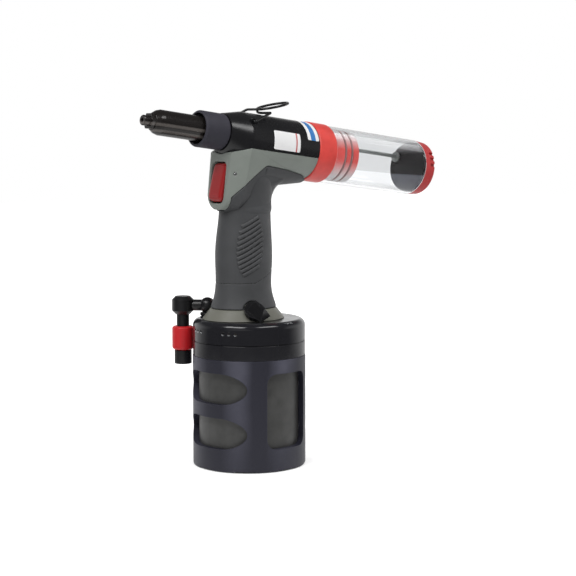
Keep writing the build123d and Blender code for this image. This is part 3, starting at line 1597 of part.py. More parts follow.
# Hanger: one wire from pivot to pivot, crossing itself below the eye
near_bar_rise = barrel_radius - collector_drop + hanger_wire + hanger_rest_gap
far_bar_rise = near_bar_rise + hanger_lift
with BuildPart() as hanger:
    eye_middle = hanger_bend_place - hanger_neck - hanger_eye_half_length
    eye_points = []
    for corner in range(hanger_eye_corners):
        corner_angle = radians(180 / hanger_eye_corners * (2 * corner + 1))
        corner_place = eye_middle + hanger_eye_half_length * cos(corner_angle)
        corner_rise = far_bar_rise + (hanger_bend_place - corner_place) * hanger_eye_slope
        eye_points.append(head_point(corner_place, -hanger_eye_half_width * sin(corner_angle), corner_rise))
    with BuildLine() as wire_path:
        FilletPolyline(
            head_point(hanger_pivot_place, hanger_pin_inner, hanger_pivot_rise),
            head_point(hanger_pivot_place, hanger_leg_out, hanger_pivot_rise),
            head_point(hanger_bend_place, hanger_bend_out, near_bar_rise),
            head_point(hanger_bend_place, -hanger_cross_reach, near_bar_rise),
            *eye_points,
            head_point(hanger_bend_place, hanger_cross_reach, far_bar_rise),
            head_point(hanger_bend_place, -hanger_bend_out, far_bar_rise),
            head_point(hanger_pivot_place, -hanger_leg_out, hanger_pivot_rise),
            head_point(hanger_pivot_place, -hanger_pin_inner, hanger_pivot_rise),
            radius=hanger_bend_radius,
        )
    with BuildSketch(Plane(origin=wire_path.line @ 0, z_dir=wire_path.line % 0)):
        Circle(hanger_wire)
    sweep(path=wire_path.line)
hanger.part.label = "hanger"
export_step(hanger.part, "parts/hanger.step")

# Air inlet: post, swivel, elbow, slide valve and hose connector
post_top = inlet_point.Z + inlet_post_radius
with BuildPart() as inlet_post:
    turn(
        [
            (0, lid_inner_top),
            (inlet_thread_radius, lid_inner_top),
            (inlet_thread_radius, lid_top),
            (inlet_flange_radius, lid_top),
            (inlet_flange_radius, lid_top + inlet_flange_height),
            (inlet_post_radius, lid_top + inlet_flange_height),
            (inlet_post_radius, post_top),
            (0, post_top),
        ],
        inlet_side, inlet_axis,
    )
inlet_post.part.label = "inlet_post"
export_step(inlet_post.part, "parts/inlet_post.step")

swivel_low = lid_top + inlet_flange_height + seat
with BuildPart() as inlet_swivel:
    with Locations(inlet_point):
        Sphere(inlet_ball_radius)
    with BuildSketch(arm_plane):
        Circle(arm_radius)
    extrude(amount=arm_length - elbow_radius - seat)
    with BuildSketch(arm_plane):
        Circle(arm_spigot_radius)
    extrude(amount=arm_length - seat)
    turn(
        upright_ring(0, inlet_post_radius + running, 0, post_top + seat),
        inlet_side, inlet_axis, Mode.SUBTRACT,
    )
    turn(upright_ring(0, 2 * inlet_ball_radius, 0, swivel_low), inlet_side, inlet_axis, Mode.SUBTRACT)
inlet_swivel.part.label = "inlet_swivel"
export_step(inlet_swivel.part, "parts/inlet_swivel.step")

elbow_side = Plane(origin=(elbow_point.X, elbow_point.Y, 0), x_dir=(1, 0, 0), z_dir=(0, -1, 0))
elbow_axis = Axis((elbow_point.X, elbow_point.Y, 0), (0, 0, 1))
pipe_end = elbow_point.Z - pipe_drop
slide_sleeve_low = elbow_point.Z - slide_sleeve_drop
connector_low = elbow_point.Z - connector_drop
elbow_low = elbow_point.Z - elbow_half_height
elbow_top = elbow_point.Z + elbow_half_height
with BuildPart() as inlet_elbow:
    turn(
        [
            (0, pipe_end),
            (pipe_radius, pipe_end),
            (pipe_radius, elbow_low),
            (elbow_radius - elbow_edge, elbow_low),
            (elbow_radius, elbow_low + elbow_edge),
            (elbow_radius, elbow_top - elbow_edge),
            (elbow_radius - elbow_edge, elbow_top),
            (0, elbow_top),
        ],
        elbow_side, elbow_axis,
    )
    turn(upright_ring(0, pipe_bore, pipe_end, elbow_point.Z), elbow_side, elbow_axis, Mode.SUBTRACT)
    with BuildSketch(arm_plane):
        Circle(arm_spigot_radius + running)
    extrude(amount=arm_length, mode=Mode.SUBTRACT)
inlet_elbow.part.label = "inlet_elbow"
export_step(inlet_elbow.part, "parts/inlet_elbow.step")

with BuildPart() as slide_sleeve:
    slide_sleeve_top = slide_sleeve_low + slide_sleeve_length
    turn(
        [
            (pipe_radius + running, slide_sleeve_low),
            (slide_sleeve_radius - sleeve_edge_round, slide_sleeve_low),
            (slide_sleeve_radius, slide_sleeve_low + sleeve_edge_round),
            (slide_sleeve_radius, slide_sleeve_top - sleeve_edge_round),
            (slide_sleeve_radius - sleeve_edge_round, slide_sleeve_top),
            (pipe_radius + running, slide_sleeve_top),
        ],
        elbow_side, elbow_axis,
    )
slide_sleeve.part.label = "slide_sleeve"
export_step(slide_sleeve.part, "parts/slide_sleeve.step")

with BuildPart() as hose_connector:
    turn(
        [
            (port_radius, connector_low),
            (connector_radius, connector_low),
            (connector_radius, slide_sleeve_low - seat),
            (pipe_radius + slip, slide_sleeve_low - seat),
            (pipe_radius + slip, pipe_end),
            (port_radius, pipe_end),
        ],
        elbow_side, elbow_axis,
    )
hose_connector.part.label = "hose_connector"
export_step(hose_connector.part, "parts/hose_connector.step")
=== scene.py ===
"""Looks of a hand-held air over oil riveter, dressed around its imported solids."""
import json
import math

import bpy
from bpy.props import FloatProperty, FloatVectorProperty, IntProperty, PointerProperty
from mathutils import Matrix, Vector

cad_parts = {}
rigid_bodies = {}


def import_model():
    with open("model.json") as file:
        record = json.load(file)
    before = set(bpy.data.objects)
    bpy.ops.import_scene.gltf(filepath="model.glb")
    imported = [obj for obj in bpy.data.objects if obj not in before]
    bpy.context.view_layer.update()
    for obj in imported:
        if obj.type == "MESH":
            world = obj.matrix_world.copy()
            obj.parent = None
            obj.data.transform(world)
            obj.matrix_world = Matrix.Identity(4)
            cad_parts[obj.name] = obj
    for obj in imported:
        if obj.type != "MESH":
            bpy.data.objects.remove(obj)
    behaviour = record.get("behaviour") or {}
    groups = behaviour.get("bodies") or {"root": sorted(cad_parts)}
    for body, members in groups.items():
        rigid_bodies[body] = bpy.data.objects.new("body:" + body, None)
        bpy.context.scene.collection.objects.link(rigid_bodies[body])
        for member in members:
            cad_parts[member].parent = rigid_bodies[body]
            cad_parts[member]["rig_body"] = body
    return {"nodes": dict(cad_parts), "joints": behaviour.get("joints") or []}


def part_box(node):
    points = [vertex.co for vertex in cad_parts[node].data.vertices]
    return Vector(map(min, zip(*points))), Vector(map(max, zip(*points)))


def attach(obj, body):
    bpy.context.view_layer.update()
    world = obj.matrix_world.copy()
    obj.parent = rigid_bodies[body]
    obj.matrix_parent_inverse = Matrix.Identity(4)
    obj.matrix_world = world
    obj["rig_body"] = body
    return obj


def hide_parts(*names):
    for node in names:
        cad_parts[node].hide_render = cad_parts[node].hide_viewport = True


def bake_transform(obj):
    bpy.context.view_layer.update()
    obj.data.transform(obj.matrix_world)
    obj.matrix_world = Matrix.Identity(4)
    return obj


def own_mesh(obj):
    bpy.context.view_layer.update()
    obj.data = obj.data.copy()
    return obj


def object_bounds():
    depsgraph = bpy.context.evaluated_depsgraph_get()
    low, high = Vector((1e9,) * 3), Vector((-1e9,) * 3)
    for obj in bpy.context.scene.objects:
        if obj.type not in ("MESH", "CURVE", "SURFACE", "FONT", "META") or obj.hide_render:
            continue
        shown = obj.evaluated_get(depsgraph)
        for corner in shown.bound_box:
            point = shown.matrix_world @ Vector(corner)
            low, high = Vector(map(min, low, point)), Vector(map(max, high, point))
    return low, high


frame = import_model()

bl_info = {
    "name": "Air Over Oil Riveter",
    "version": (1, 0, 0),
    "blender": (4, 5, 0),
    "location": "View3D > Sidebar > Riveter",
    "description": "Finishes, labels and stage for a hand-held air over oil riveter",
    "category": "Object",
}

# Facts read from the frame
CAD_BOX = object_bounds()
JOINTS = {joint["name"]: joint for joint in frame["joints"]}
ALONG = -Vector(JOINTS["bottle_slide"]["axis"])
LEFT = Vector((0, 1, 0))
HEAD_UP = ALONG.cross(LEFT)
UPRIGHT = Vector((0, 0, 1))
COLLECTOR = Vector(JOINTS["end_cap_hinge"]["pos_m"])
BARREL_RADIUS = (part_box("head_barrel")[1].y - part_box("head_barrel")[0].y) / 2
BOOT_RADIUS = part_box("base_boot")[1].y
LID_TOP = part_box("lid_cover")[1].z
MIDDLE = (CAD_BOX[0] + CAD_BOX[1]) / 2

# Places in metres: where the nose axis crosses the upright one, the spigot's front from the collector's
# origin, the skirt's top and the half height of an exhaust hole's rim
NOSE = UPRIGHT * 0.272
SPIGOT_FRONT = -0.0765
SPIGOT_BLUR = 0.0002
SKIRT_TOP = (0.14, 0.17)
HOLE_RIM = 0.0025
HOLE_BLUR = 0.0001

# Painted bands of sheen on the boot, standing in for soft highlights: the way across them, their pitch, one
# crest and the heights where they fade in
PAINTED_SHEEN_WAY = Vector((-0.783, 0.622, 0))
PAINTED_SHEEN_PITCH = 0.038
PAINTED_SHEEN_PEAK = -0.005
PAINTED_SHEEN_WANDER = 0.008
PAINTED_SHEEN_HEIGHTS = (-0.03, 0.09)

# Scales of noise, in cells per metre
BROAD_CLOUDS = 25.0
STREAK_CLOUDS = 40.0
RUBBER_CLOUDS = 45.0
PLASTIC_CLOUDS = 60.0
SMUDGE_CLOUDS = 70.0
METAL_CLOUDS = 90.0
RUBBER_DULLING = 120.0
SCUFF_CLOUDS = 140.0
PLASTIC_DULLING = 160.0
PAPER_DULLING = 200.0
POLISH_CLOUDS = 260.0
NOSE_STREAKS = 260.0
PAPER_CLOUDS = 300.0
FELT_FIBRES = 900.0
SOFT_GRAIN = 1200.0
GRIP_GRAIN = 1300.0
PLASTIC_GRAIN = 1500.0
SLEEVE_GRAIN = 1500.0
BOOT_GRAIN = 1800.0
LATHE_LINES = 2600.0

# Depths of relief, in metres
LATHE_DEPTH = 0.000005
POLISH_DEPTH = 0.00001
SOFT_DEPTH = 0.00002
PLASTIC_DEPTH = 0.00003
RUBBER_DEPTH = 0.00005
FELT_DEPTH = 0.0003

# Joining and rounding the faces of a solid
WELD_DISTANCE = 0.000002
FLAT_ANGLE = 0.4
SHARP_ANGLE = 32.0
EDGE_SAMPLES = 4

# Sockets of the Mix node for colours
MIX_FACTOR = 0
MIX_FIRST = 6
MIX_SECOND = 7
MIX_RESULT = 2


def srgb(red, green, blue):
    """Linear colour of a screen colour given from 0 to 255."""
    shares = (red / 255, green / 255, blue / 255)
    return tuple(((share + 0.055) / 1.055) ** 2.4 if share > 0.04045 else share / 12.92 for share in shares)


def colour(name, description, *screen):
    """A colour that a user can change, given as it shows on screen."""
    return FloatVectorProperty(
        name=name, description=description, default=srgb(*screen), size=3, min=0, max=1, subtype="COLOR"
    )


def length(name, description, metres):
    """A length that a user can change."""
    return FloatProperty(
        name=name, description=description, default=metres, min=0, precision=5, unit="LENGTH"
    )


def angle(name, description, degrees):
    """An angle that a user can change."""
    return FloatProperty(name=name, description=description, default=math.radians(degrees), subtype="ANGLE")


class RiveterColours(bpy.types.PropertyGroup):
    """Colours of the riveter's pieces."""

    boot: colour("Boot", "Rubber boot around the base", 42, 42, 53)
    # The boot's sheen colour is painted sheen: light bands painted into the rubber's colour.
    boot_painted_sheen: colour("Boot sheen", "Soft bands of sheen on the boot", 96, 96, 110)
    cylinder: colour("Cylinder", "Air cylinder in the boot's windows", 76, 76, 75)
    lid: colour("Lid", "Gloss black of the lid and cylinder head", 31, 31, 35)
    housing: colour("Housing", "Moulded trigger housing", 131, 137, 131)
    skirt: colour("Skirt", "Foot of the moulded handle", 112, 112, 103)
    grip: colour("Grip", "Soft overmould on the handle", 71, 72, 74)
    trigger: colour("Trigger", "Red trigger", 158, 30, 32)
    collar: colour("Collar", "Red collar of the collector", 222, 72, 66)
    cap: colour("Cap", "Red end cap of the collector", 188, 54, 56)
    slide: colour("Slide sleeve", "Red sleeve of the slide valve", 206, 36, 42)
    nose: colour("Nose", "Black steel of the nose", 33, 30, 29)
    # Nose streaks are painted highlights along the nose.
    nose_painted_streak: colour("Nose streaks", "Polished streaks along the nose", 122, 116, 112)
    nose_rubber: colour("Nose sleeve", "Rubber sleeve behind the nose", 58, 57, 66)
    barrel: colour("Barrel", "Black barrel of the head", 27, 27, 29)
    fitting: colour("Fittings", "Black air fittings and switch", 24, 24, 26)
    plug: colour("End plug", "Black plug in the bottle's end", 26, 22, 24)
    # Plug top and plug foot are painted reflections seen through the bottle.
    plug_top_painted_reflection: colour("Plug top", "Polished top of the plug", 168, 168, 170)
    plug_foot_painted_reflection: colour("Plug foot", "Polished foot of the plug", 100, 102, 110)
    wire: colour("Hanger wire", "Black wire of the hanger", 22, 22, 23)
    clear: colour("Bottle", "Clear wall of the mandrel bottle", 238, 239, 240)
    # The spigot colour is a painted reflection of the bottle's wall on the spigot's top and foot.
    pale: colour("Spigot", "Greyed top and foot of the collar's spigot", 214, 208, 208)
    rod: colour("Baffle rod", "Grey rod in the bottle", 120, 124, 122)
    steel: colour("Steel", "Bare machined steel", 196, 196, 198)
    aluminium: colour("Aluminium", "Bare turned aluminium", 214, 216, 218)
    bronze: colour("Bronze", "Bushes and valve bodies", 190, 150, 92)
    seal: colour("Seals", "Black seal rubber", 34, 34, 35)
    ring: colour("Collar rings", "Rings on the collar's spigot", 150, 112, 110)
    felt: colour("Felt", "Silencer felt", 158, 154, 148)
    paper: colour("Label", "Blank label", 244, 244, 244)
    blue: colour("Label blue", "Plain band on the rear label", 54, 122, 190)
    red: colour("Label red", "Plain rule on the side label", 196, 84, 84)


class RiveterSizes(bpy.types.PropertyGroup):
    """Sizes of the added detail."""

    hard_edge: length("Hard edge", "Bevel on machined edges", 0.0003)
    moulded_edge: length("Moulded edge", "Bevel on moulded edges", 0.0006)
    boot_edge: length("Boot edge", "Bevel on the boot's windows", 0.0011)
    lid_edge: length("Lid edge", "Bevel on the lid's seam and exhaust holes", 0.0006)
    sleeve_edge: length("Sleeve edge", "Bevel on the nose sleeve", 0.0008)
    skin_voxel: length("Skin voxel", "Cell of the smoothed handle skins", 0.00045)
    housing_rounds: IntProperty(name="Housing rounds", description="Housing smoothing", default=3, min=0)
    grip_rounds: IntProperty(name="Grip rounds", description="Grip smoothing", default=7, min=0)
    trigger_rounds: IntProperty(name="Trigger rounds", description="Trigger smoothing", default=60, min=0)
    hanger_wire: length("Hanger wire", "Radius of the hanger's wire", 0.00105)
    hanger_bend: length("Hanger bend", "Reach of a bend in the hanger's wire", 0.003)
    stud_radius: length("Stud radius", "Radius of the hanger's two studs", 0.0027)
    hole_depth: length("Exhaust holes", "Exhaust holes below the lid's top", 0.0086)
    label_thickness: length("Label thickness", "Thickness of a label", 0.00012)
    label_corner: length("Label corner", "Corner round of a label", 0.0012)


class RiveterStage(bpy.types.PropertyGroup):
    """Camera, lamps and floor."""

    camera_distance: length("Camera distance", "From the tool's upright axis", 1.31849)
    camera_azimuth: angle("Camera azimuth", "From the tool's left towards its nose", 37.02)
    camera_height: length("Camera height", "Above the floor", 0.2826)
    camera_pitch: angle("Camera pitch", "Down from level", 5.891)
    camera_yaw: angle("Camera yaw", "Turn away from the upright axis", 1.408)
    camera_lens: FloatProperty(
        name="Lens", description="Focal length for a 36 mm wide picture", default=99.71, unit="CAMERA"
    )
    floor_radius: length("Floor radius", "Half width of the pale floor", 4.0)
    floor_gap: length("Floor gap", "Floor below the base", 0.0002)
    shadow_radius: length("Shadow radius", "Reach of the floor's shadow", 0.3)
    ambient: FloatProperty(name="Ambient", description="Strength of the even light", default=0.4, min=0)
    dim_side: FloatProperty(name="Dim side", description="The camera's side in gloss", default=0.08, min=0)
    key_power: FloatProperty(name="Key", description="Nose side softbox", default=6.0, unit="POWER")
    fill_power: FloatProperty(name="Fill", description="Bottle side softbox", default=4.2, unit="POWER")
    rear_power: FloatProperty(name="Rear", description="Softboxes behind", default=3.2, unit="POWER")


class Wire:
    """A shader socket that joins in plain arithmetic: each sign adds one Math node."""

    def __init__(self, tree, socket=None):
        self.tree = tree
        self.socket = socket

    def add(self, kind, settings=None, links=None, output=0):
        """Add a node: its settings first, then the values or links of its sockets."""
        node = self.tree.nodes.new(kind)
        for name, value in (settings or {}).items():
            setattr(node, name, value)
        for name, value in (links or {}).items():
            if isinstance(value, Wire):
                self.tree.links.new(value.socket, node.inputs[name])
            else:
                node.inputs[name].default_value = value
        return Wire(self.tree, node.outputs[output] if node.outputs else None)

    def math(self, operation, first, second):
        """One Math node on two values."""
        return self.add("ShaderNodeMath", {"operation": operation}, {0: first, 1: second})

    def __add__(self, other):
        return self.math("ADD", self, other)

    def __radd__(self, other):
        return self.math("ADD", other, self)

    def __sub__(self, other):
        return self.math("SUBTRACT", self, other)

    def __rsub__(self, other):
        return self.math("SUBTRACT", other, self)

    def __mul__(self, other):
        return self.math("MULTIPLY", self, other)

    def __rmul__(self, other):
        return self.math("MULTIPLY", other, self)

    def __truediv__(self, other):
        return self.math("DIVIDE", self, other)

    def __rtruediv__(self, other):
        return self.math("DIVIDE", other, self)


# Patterns that finishes share
def here(wire):
    """Place on the piece, in metres in the row's frame."""
    return wire.add("ShaderNodeTexCoord", output="Object")


def part_of(wire, place, direction):
    """How far a place lies along a direction."""
    return wire.add("ShaderNodeVectorMath", {"operation": "DOT_PRODUCT"}, {0: place, 1: direction}, "Value")


def clouds(wire, scale, detail=2.0):
    """Soft noise from 0 to 1."""
    return wire.add(
        "ShaderNodeTexNoise", None, {"Vector": here(wire), "Scale": scale, "Detail": detail}, "Fac"
    )


def lines(wire, direction, scale):
    """Fine lines square to a direction, as a lathe leaves them."""
    return wire.add(
        "ShaderNodeTexNoise",
        {"noise_dimensions": "1D"},
        {"W": part_of(wire, here(wire), direction), "Scale": scale, "Detail": 3.0},
        "Fac",
    )


def between(value, low, high):
    """Value taken from 0 at low to 1 at high, and held there beyond."""
    return value.add(
        "ShaderNodeMapRange", {"clamp": True}, {"Value": value, "From Min": low, "From Max": high}
    )


def within(value, low, high, blur):
    """1 from low to high and 0 outside, with blurred ends."""
    return between(value, low - blur, low + blur) * (1 - between(value, high - blur, high + blur))


def patches(wire, scale):
    """Broad patches from 0 to 1."""
    return between(clouds(wire, scale), 0.3, 0.7)


def smudges(wire):
    """Smudges in a gloss, from 0 to 1."""
    return between(clouds(wire, SMUDGE_CLOUDS, 4.0), 0.35, 0.75)


def blend_colours(wire, factor, first, second):
    """Mix of two colours, each a plain one or a link."""
    pair = [tone if isinstance(tone, Wire) else (*tone[:3], 1.0) for tone in (first, second)]
    return wire.add(
        "ShaderNodeMix",
        {"data_type": "RGBA"},
        {MIX_FACTOR: factor, MIX_FIRST: pair[0], MIX_SECOND: pair[1]},
        MIX_RESULT,
    )


def shade(tone, factor):
    """A colour made lighter or darker."""
    return tuple(min(1.0, channel * factor) for channel in tone[:3])


def relief(wire, height, depth):
    """Normal of a surface raised by a height from 0 to 1."""
    return wire.add("ShaderNodeBump", None, {"Height": height, "Distance": depth, "Strength": 1.0}, "Normal")


def grain(wire, scale, depth):
    """Normal of a moulded surface with a fine grain."""
    return relief(wire, clouds(wire, scale, 1.0), depth)


def polish(wire):
    """Normal of a polished surface that isn't quite even."""
    return relief(wire, clouds(wire, POLISH_CLOUDS, 3.0), POLISH_DEPTH)


def rounded_normal(wire, radius):
    """Normal that turns smoothly over the edges."""
    return wire.add("ShaderNodeBevel", {"samples": EDGE_SAMPLES}, {"Radius": radius}, "Normal")


def edges(wire, radius):
    """From 0 on open faces to 1 along an edge."""
    flat = wire.add("ShaderNodeNewGeometry", output="Normal")
    return between(1 - part_of(wire, rounded_normal(wire, radius), flat), 0.02, 0.25)


def folds(wire):
    """From 1 in a crease of a fine mesh to 0 on open faces; it masks painted shade in creases."""
    return 1 - between(wire.add("ShaderNodeNewGeometry", output="Pointiness"), 0.47, 0.4985)


def above_collector(wire):
    """How far a place lies above the collector's axis, as a share of the barrel's radius."""
    return (part_of(wire, here(wire), HEAD_UP) - COLLECTOR.dot(HEAD_UP)) / BARREL_RADIUS


def off_collector(wire):
    """How far a place lies above or below the collector's axis, as a share of the barrel's radius."""
    rise = above_collector(wire)
    return rise.math("ABSOLUTE", rise, 0.0)


def along_collector(wire):
    """How far a place lies ahead of the collector's origin."""
    return part_of(wire, here(wire), ALONG) - COLLECTOR.dot(ALONG)


def new_finish(name):
    """An empty material and a wire to hang nodes on."""
    material = bpy.data.materials.new(name)
    material.use_nodes = True
    material.node_tree.nodes.clear()
    return material, Wire(material.node_tree)


def close_finish(wire, sockets):
    """Join the shader to the material's output."""
    shader = wire.add("ShaderNodeBsdfPrincipled", None, sockets, "BSDF")
    wire.add("ShaderNodeOutputMaterial", None, {"Surface": shader})


# Finishes
def rubber(name, tone, roughness, grain_scale, grain_depth, crease_shade=None, sheen=0.3):
    """Moulded rubber: cloudy tone, fine grain, dull patches and, where a crease shade is given, painted shade
    in the grooves.
    """
    material, wire = new_finish(name)
    body = blend_colours(wire, patches(wire, RUBBER_CLOUDS), shade(tone, 0.88), shade(tone, 1.1))
    if crease_shade:
        # Painted shade: the grooves darkened by the given factor.
        body = blend_colours(wire, folds(wire), body, shade(tone, crease_shade))
    close_finish(wire, {
        "Base Color": body,
        "Roughness": roughness - 0.05 + clouds(wire, RUBBER_DULLING) * 0.12,
        "Normal": grain(wire, grain_scale, grain_depth),
        "Specular IOR Level": sheen,
    })
    return material


def boot_rubber(name, tone, painted_sheen_tone):
    """Satin rubber with soft upright bands of painted sheen that fade towards the foot, and lighter edges
    that are a painted highlight.
    """
    material, wire = new_finish(name)
    across = part_of(wire, here(wire), PAINTED_SHEEN_WAY) + clouds(wire, BROAD_CLOUDS) * PAINTED_SHEEN_WANDER
    wave = across.math("COSINE", (across - PAINTED_SHEEN_PEAK) * (math.tau / PAINTED_SHEEN_PITCH), 0.0)
    bands = between(wave, -0.6, 1.0) * between(part_of(wire, here(wire), UPRIGHT), *PAINTED_SHEEN_HEIGHTS)
    # Painted sheen: the bands lighten the rubber towards the sheen colour.
    body = blend_colours(wire, bands * (0.4 + clouds(wire, PLASTIC_CLOUDS) * 0.5), tone, painted_sheen_tone)
    close_finish(wire, {
        # Lighter edges: a painted highlight along the boot's edges.
        "Base Color": blend_colours(wire, edges(wire, 0.0009), body, shade(tone, 1.7)),
        "Roughness": 0.38 + clouds(wire, RUBBER_DULLING) * 0.12,
        "Normal": grain(wire, BOOT_GRAIN, SOFT_DEPTH),
        "Specular IOR Level": 0.35,
    })
    return material


def moulded(name, tone, roughness, edge_lightening):
    """Moulded plastic: faint clouds, fine grain and lighter rubbed edges."""
    material, wire = new_finish(name)
    body = blend_colours(wire, patches(wire, PLASTIC_CLOUDS), shade(tone, 0.94), shade(tone, 1.05))
    close_finish(wire, {
        "Base Color": blend_colours(wire, edges(wire, 0.0006), body, shade(tone, edge_lightening)),
        "Roughness": roughness - 0.04 + clouds(wire, PLASTIC_DULLING) * 0.1,
        "Normal": grain(wire, PLASTIC_GRAIN, PLASTIC_DEPTH),
        "Specular IOR Level": 0.4,
    })
    return material


def housing_plastic(name, tone, low_tone, roughness):
    """Moulded plastic that turns to the skirt's tone lower down, with painted shade in its folds."""
    material, wire = new_finish(name)
    low = 1 - between(part_of(wire, here(wire), UPRIGHT), *SKIRT_TOP)
    body = blend_colours(wire, patches(wire, PLASTIC_CLOUDS), shade(tone, 0.95), shade(tone, 1.05))
    body = blend_colours(wire, low, body, low_tone)
    close_finish(wire, {
        # Painted shade in the folds.
        "Base Color": blend_colours(wire, folds(wire), body, shade(tone, 0.7)),
        "Roughness": roughness - 0.04 + clouds(wire, PLASTIC_DULLING) * 0.1,
        "Normal": grain(wire, PLASTIC_GRAIN, PLASTIC_DEPTH),
        "Specular IOR Level": 0.5,
    })
    return material


def gloss_black(name, tone, roughness, metallic=0.0, edge_lightening=2.2):
    """Polished black: smudges in the gloss and edges lighter by a factor, faint rubbing at the usual factor
    and a painted highlight on the hanger's studs.
    """
    material, wire = new_finish(name)
    close_finish(wire, {
        "Base Color": blend_colours(wire, edges(wire, 0.0005), tone, shade(tone, edge_lightening)),
        "Roughness": roughness + smudges(wire) * 0.08,
        "Metallic": metallic,
        "Normal": polish(wire),
    })
    return material


def nose_black(name, tone, painted_streak_tone):
    """Black steel with painted highlight streaks along the nose, most of them on its lower half, where the
    floor's reflection falls.
    """
    material, wire = new_finish(name)
    rise = part_of(wire, here(wire), HEAD_UP) - NOSE.dot(HEAD_UP)
    streaks = between(lines(wire, HEAD_UP, NOSE_STREAKS), 0.48, 0.66) * (1 - between(rise, -0.001, 0.004))
    body = blend_colours(wire, streaks * (0.35 + clouds(wire, STREAK_CLOUDS) * 0.6), tone, painted_streak_tone)
    close_finish(wire, {
        "Base Color": blend_colours(wire, edges(wire, 0.0005), body, shade(tone, 2.2)),
        "Roughness": 0.18 + clouds(wire, SMUDGE_CLOUDS, 4.0) * 0.1,
        "Metallic": 0.2,
        "Normal": polish(wire),
    })
    return material


def lid_black(name, tone, rubbed, roughness, hole_height):
    """Polished black with a painted highlight, in a given bright colour, on the lower lips of the exhaust
    holes where they face upwards.
    """
    material, wire = new_finish(name)
    height = part_of(wire, here(wire), UPRIGHT)
    near = within(height, hole_height - HOLE_RIM, hole_height + HOLE_RIM, HOLE_BLUR)
    painted_glint = near * between(part_of(wire, rounded_normal(wire, 0.0004), UPRIGHT), 0.12, 0.4)
    close_finish(wire, {
        # The rubbed colour on the lips is a painted highlight.
        "Base Color": blend_colours(wire, painted_glint, tone, rubbed),
        "Roughness": roughness + smudges(wire) * 0.08 + painted_glint * 0.2,
        "Normal": polish(wire),
    })
    return material


def turned(name, tone, roughness, metallic, direction):
    """Turned metal: fine lines around the axis, a cloudy sheen and rubbed edges."""
    material, wire = new_finish(name)
    rings = lines(wire, direction, LATHE_LINES)
    body = blend_colours(wire, patches(wire, METAL_CLOUDS), shade(tone, 0.85), shade(tone, 1.15))
    close_finish(wire, {
        "Base Color": blend_colours(wire, edges(wire, 0.0004), body, shade(tone, 2.0)),
        "Roughness": roughness - 0.05 + rings * 0.1,
        "Metallic": metallic,
        "Normal": relief(wire, rings, LATHE_DEPTH),
    })
    return material


def collar_red(name, tone, pale, roughness):
    """Red turned collar whose spigot, in the bottle, greys towards its top and foot: a painted reflection of
    the bottle's wall.
    """
    material, wire = new_finish(name)
    inside = 1 - between(along_collector(wire), SPIGOT_FRONT - SPIGOT_BLUR, SPIGOT_FRONT + SPIGOT_BLUR)
    painted_spigot_reflection = inside * between(off_collector(wire), 0.2, 0.75)
    rings = lines(wire, ALONG, LATHE_LINES)
    body = blend_colours(wire, patches(wire, METAL_CLOUDS), shade(tone, 0.9), shade(tone, 1.1))
    close_finish(wire, {
        "Base Color": blend_colours(wire, painted_spigot_reflection, body, pale),
        "Roughness": roughness - 0.05 + rings * 0.1,
        "Normal": relief(wire, rings, LATHE_DEPTH),
    })
    return material


def plug_black(name, tone, top_reflection_tone, foot_reflection_tone):
    """Polished black plug whose top and foot show pale through the bottle: painted reflections of the light
    above and the floor below.
    """
    material, wire = new_finish(name)
    rise = above_collector(wire)
    body = blend_colours(wire, between(rise, 0.5, 0.8), tone, top_reflection_tone)
    close_finish(wire, {
        "Base Color": blend_colours(wire, between(rise, -0.26, -0.32), body, foot_reflection_tone),
        "Roughness": 0.08 + clouds(wire, RUBBER_DULLING, 4.0) * 0.1,
        "Specular IOR Level": 0.12,
    })
    return material


def clear_wall(name, tone):
    """Clear wall of the bottle, with weak reflections, faint scuffs and painted shade that greys its top and
    foot.
    """
    material, wire = new_finish(name)
    scuffs = between(clouds(wire, SCUFF_CLOUDS, 5.0), 0.55, 0.85)
    close_finish(wire, {
        # Greyer top and foot: painted shade.
        "Base Color": blend_colours(wire, between(off_collector(wire), 0.72, 0.95), tone, shade(tone, 0.8)),
        "Roughness": 0.01 + scuffs * 0.04,
        "IOR": 1.22,
        "Transmission Weight": 1.0,
    })
    return material


def felt(name, tone):
    """Fibrous felt."""
    material, wire = new_finish(name)
    fibres = clouds(wire, FELT_FIBRES, 6.0)
    close_finish(wire, {
        "Base Color": blend_colours(wire, fibres, shade(tone, 0.7), shade(tone, 1.15)),
        "Roughness": 0.95,
        "Normal": relief(wire, fibres, FELT_DEPTH),
    })
    return material


# Making and dressing pieces
def colours():
    """The colours that a user can change."""
    return bpy.context.scene.riveter_colours


def sizes():
    """The sizes that a user can change."""
    return bpy.context.scene.riveter_sizes


def paint(piece, material):
    """Give a piece one finish."""
    if not piece.material_slots:
        piece.data.materials.append(None)
    for slot in piece.material_slots:
        slot.material = material


def round_edges(piece, width, segments):
    """Join the faces of a solid, round its edges and even its shading."""
    weld = piece.modifiers.new("joined faces", "WELD")
    weld.merge_threshold = WELD_DISTANCE
    flat = piece.modifiers.new("whole faces", "DECIMATE")
    flat.decimate_type = "DISSOLVE"
    flat.angle_limit = math.radians(FLAT_ANGLE)
    bevel = piece.modifiers.new("rounded edges", "BEVEL")
    bevel.width = width
    bevel.segments = segments
    bevel.limit_method = "ANGLE"
    bevel.angle_limit = math.radians(SHARP_ANGLE)
    piece.modifiers.new("even shading", "WEIGHTED_NORMAL")


def dress(nodes, material, width=None, segments=2):
    """Finish solids as they are, with rounded edges where a width is given."""
    for node in nodes:
        piece = frame["nodes"][node]
        paint(piece, material)
        if width:
            round_edges(piece, width, segments)


def new_piece(name, mesh, material):
    """A new piece with one finish."""
    piece = bpy.data.objects.new(name, mesh)
    bpy.context.scene.collection.objects.link(piece)
    paint(piece, material)
    return piece


def add_piece(name, mesh, body, material):
    """A new piece that rides on a body."""
    piece = new_piece(name, mesh, material)
    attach(piece, body)
    return piece


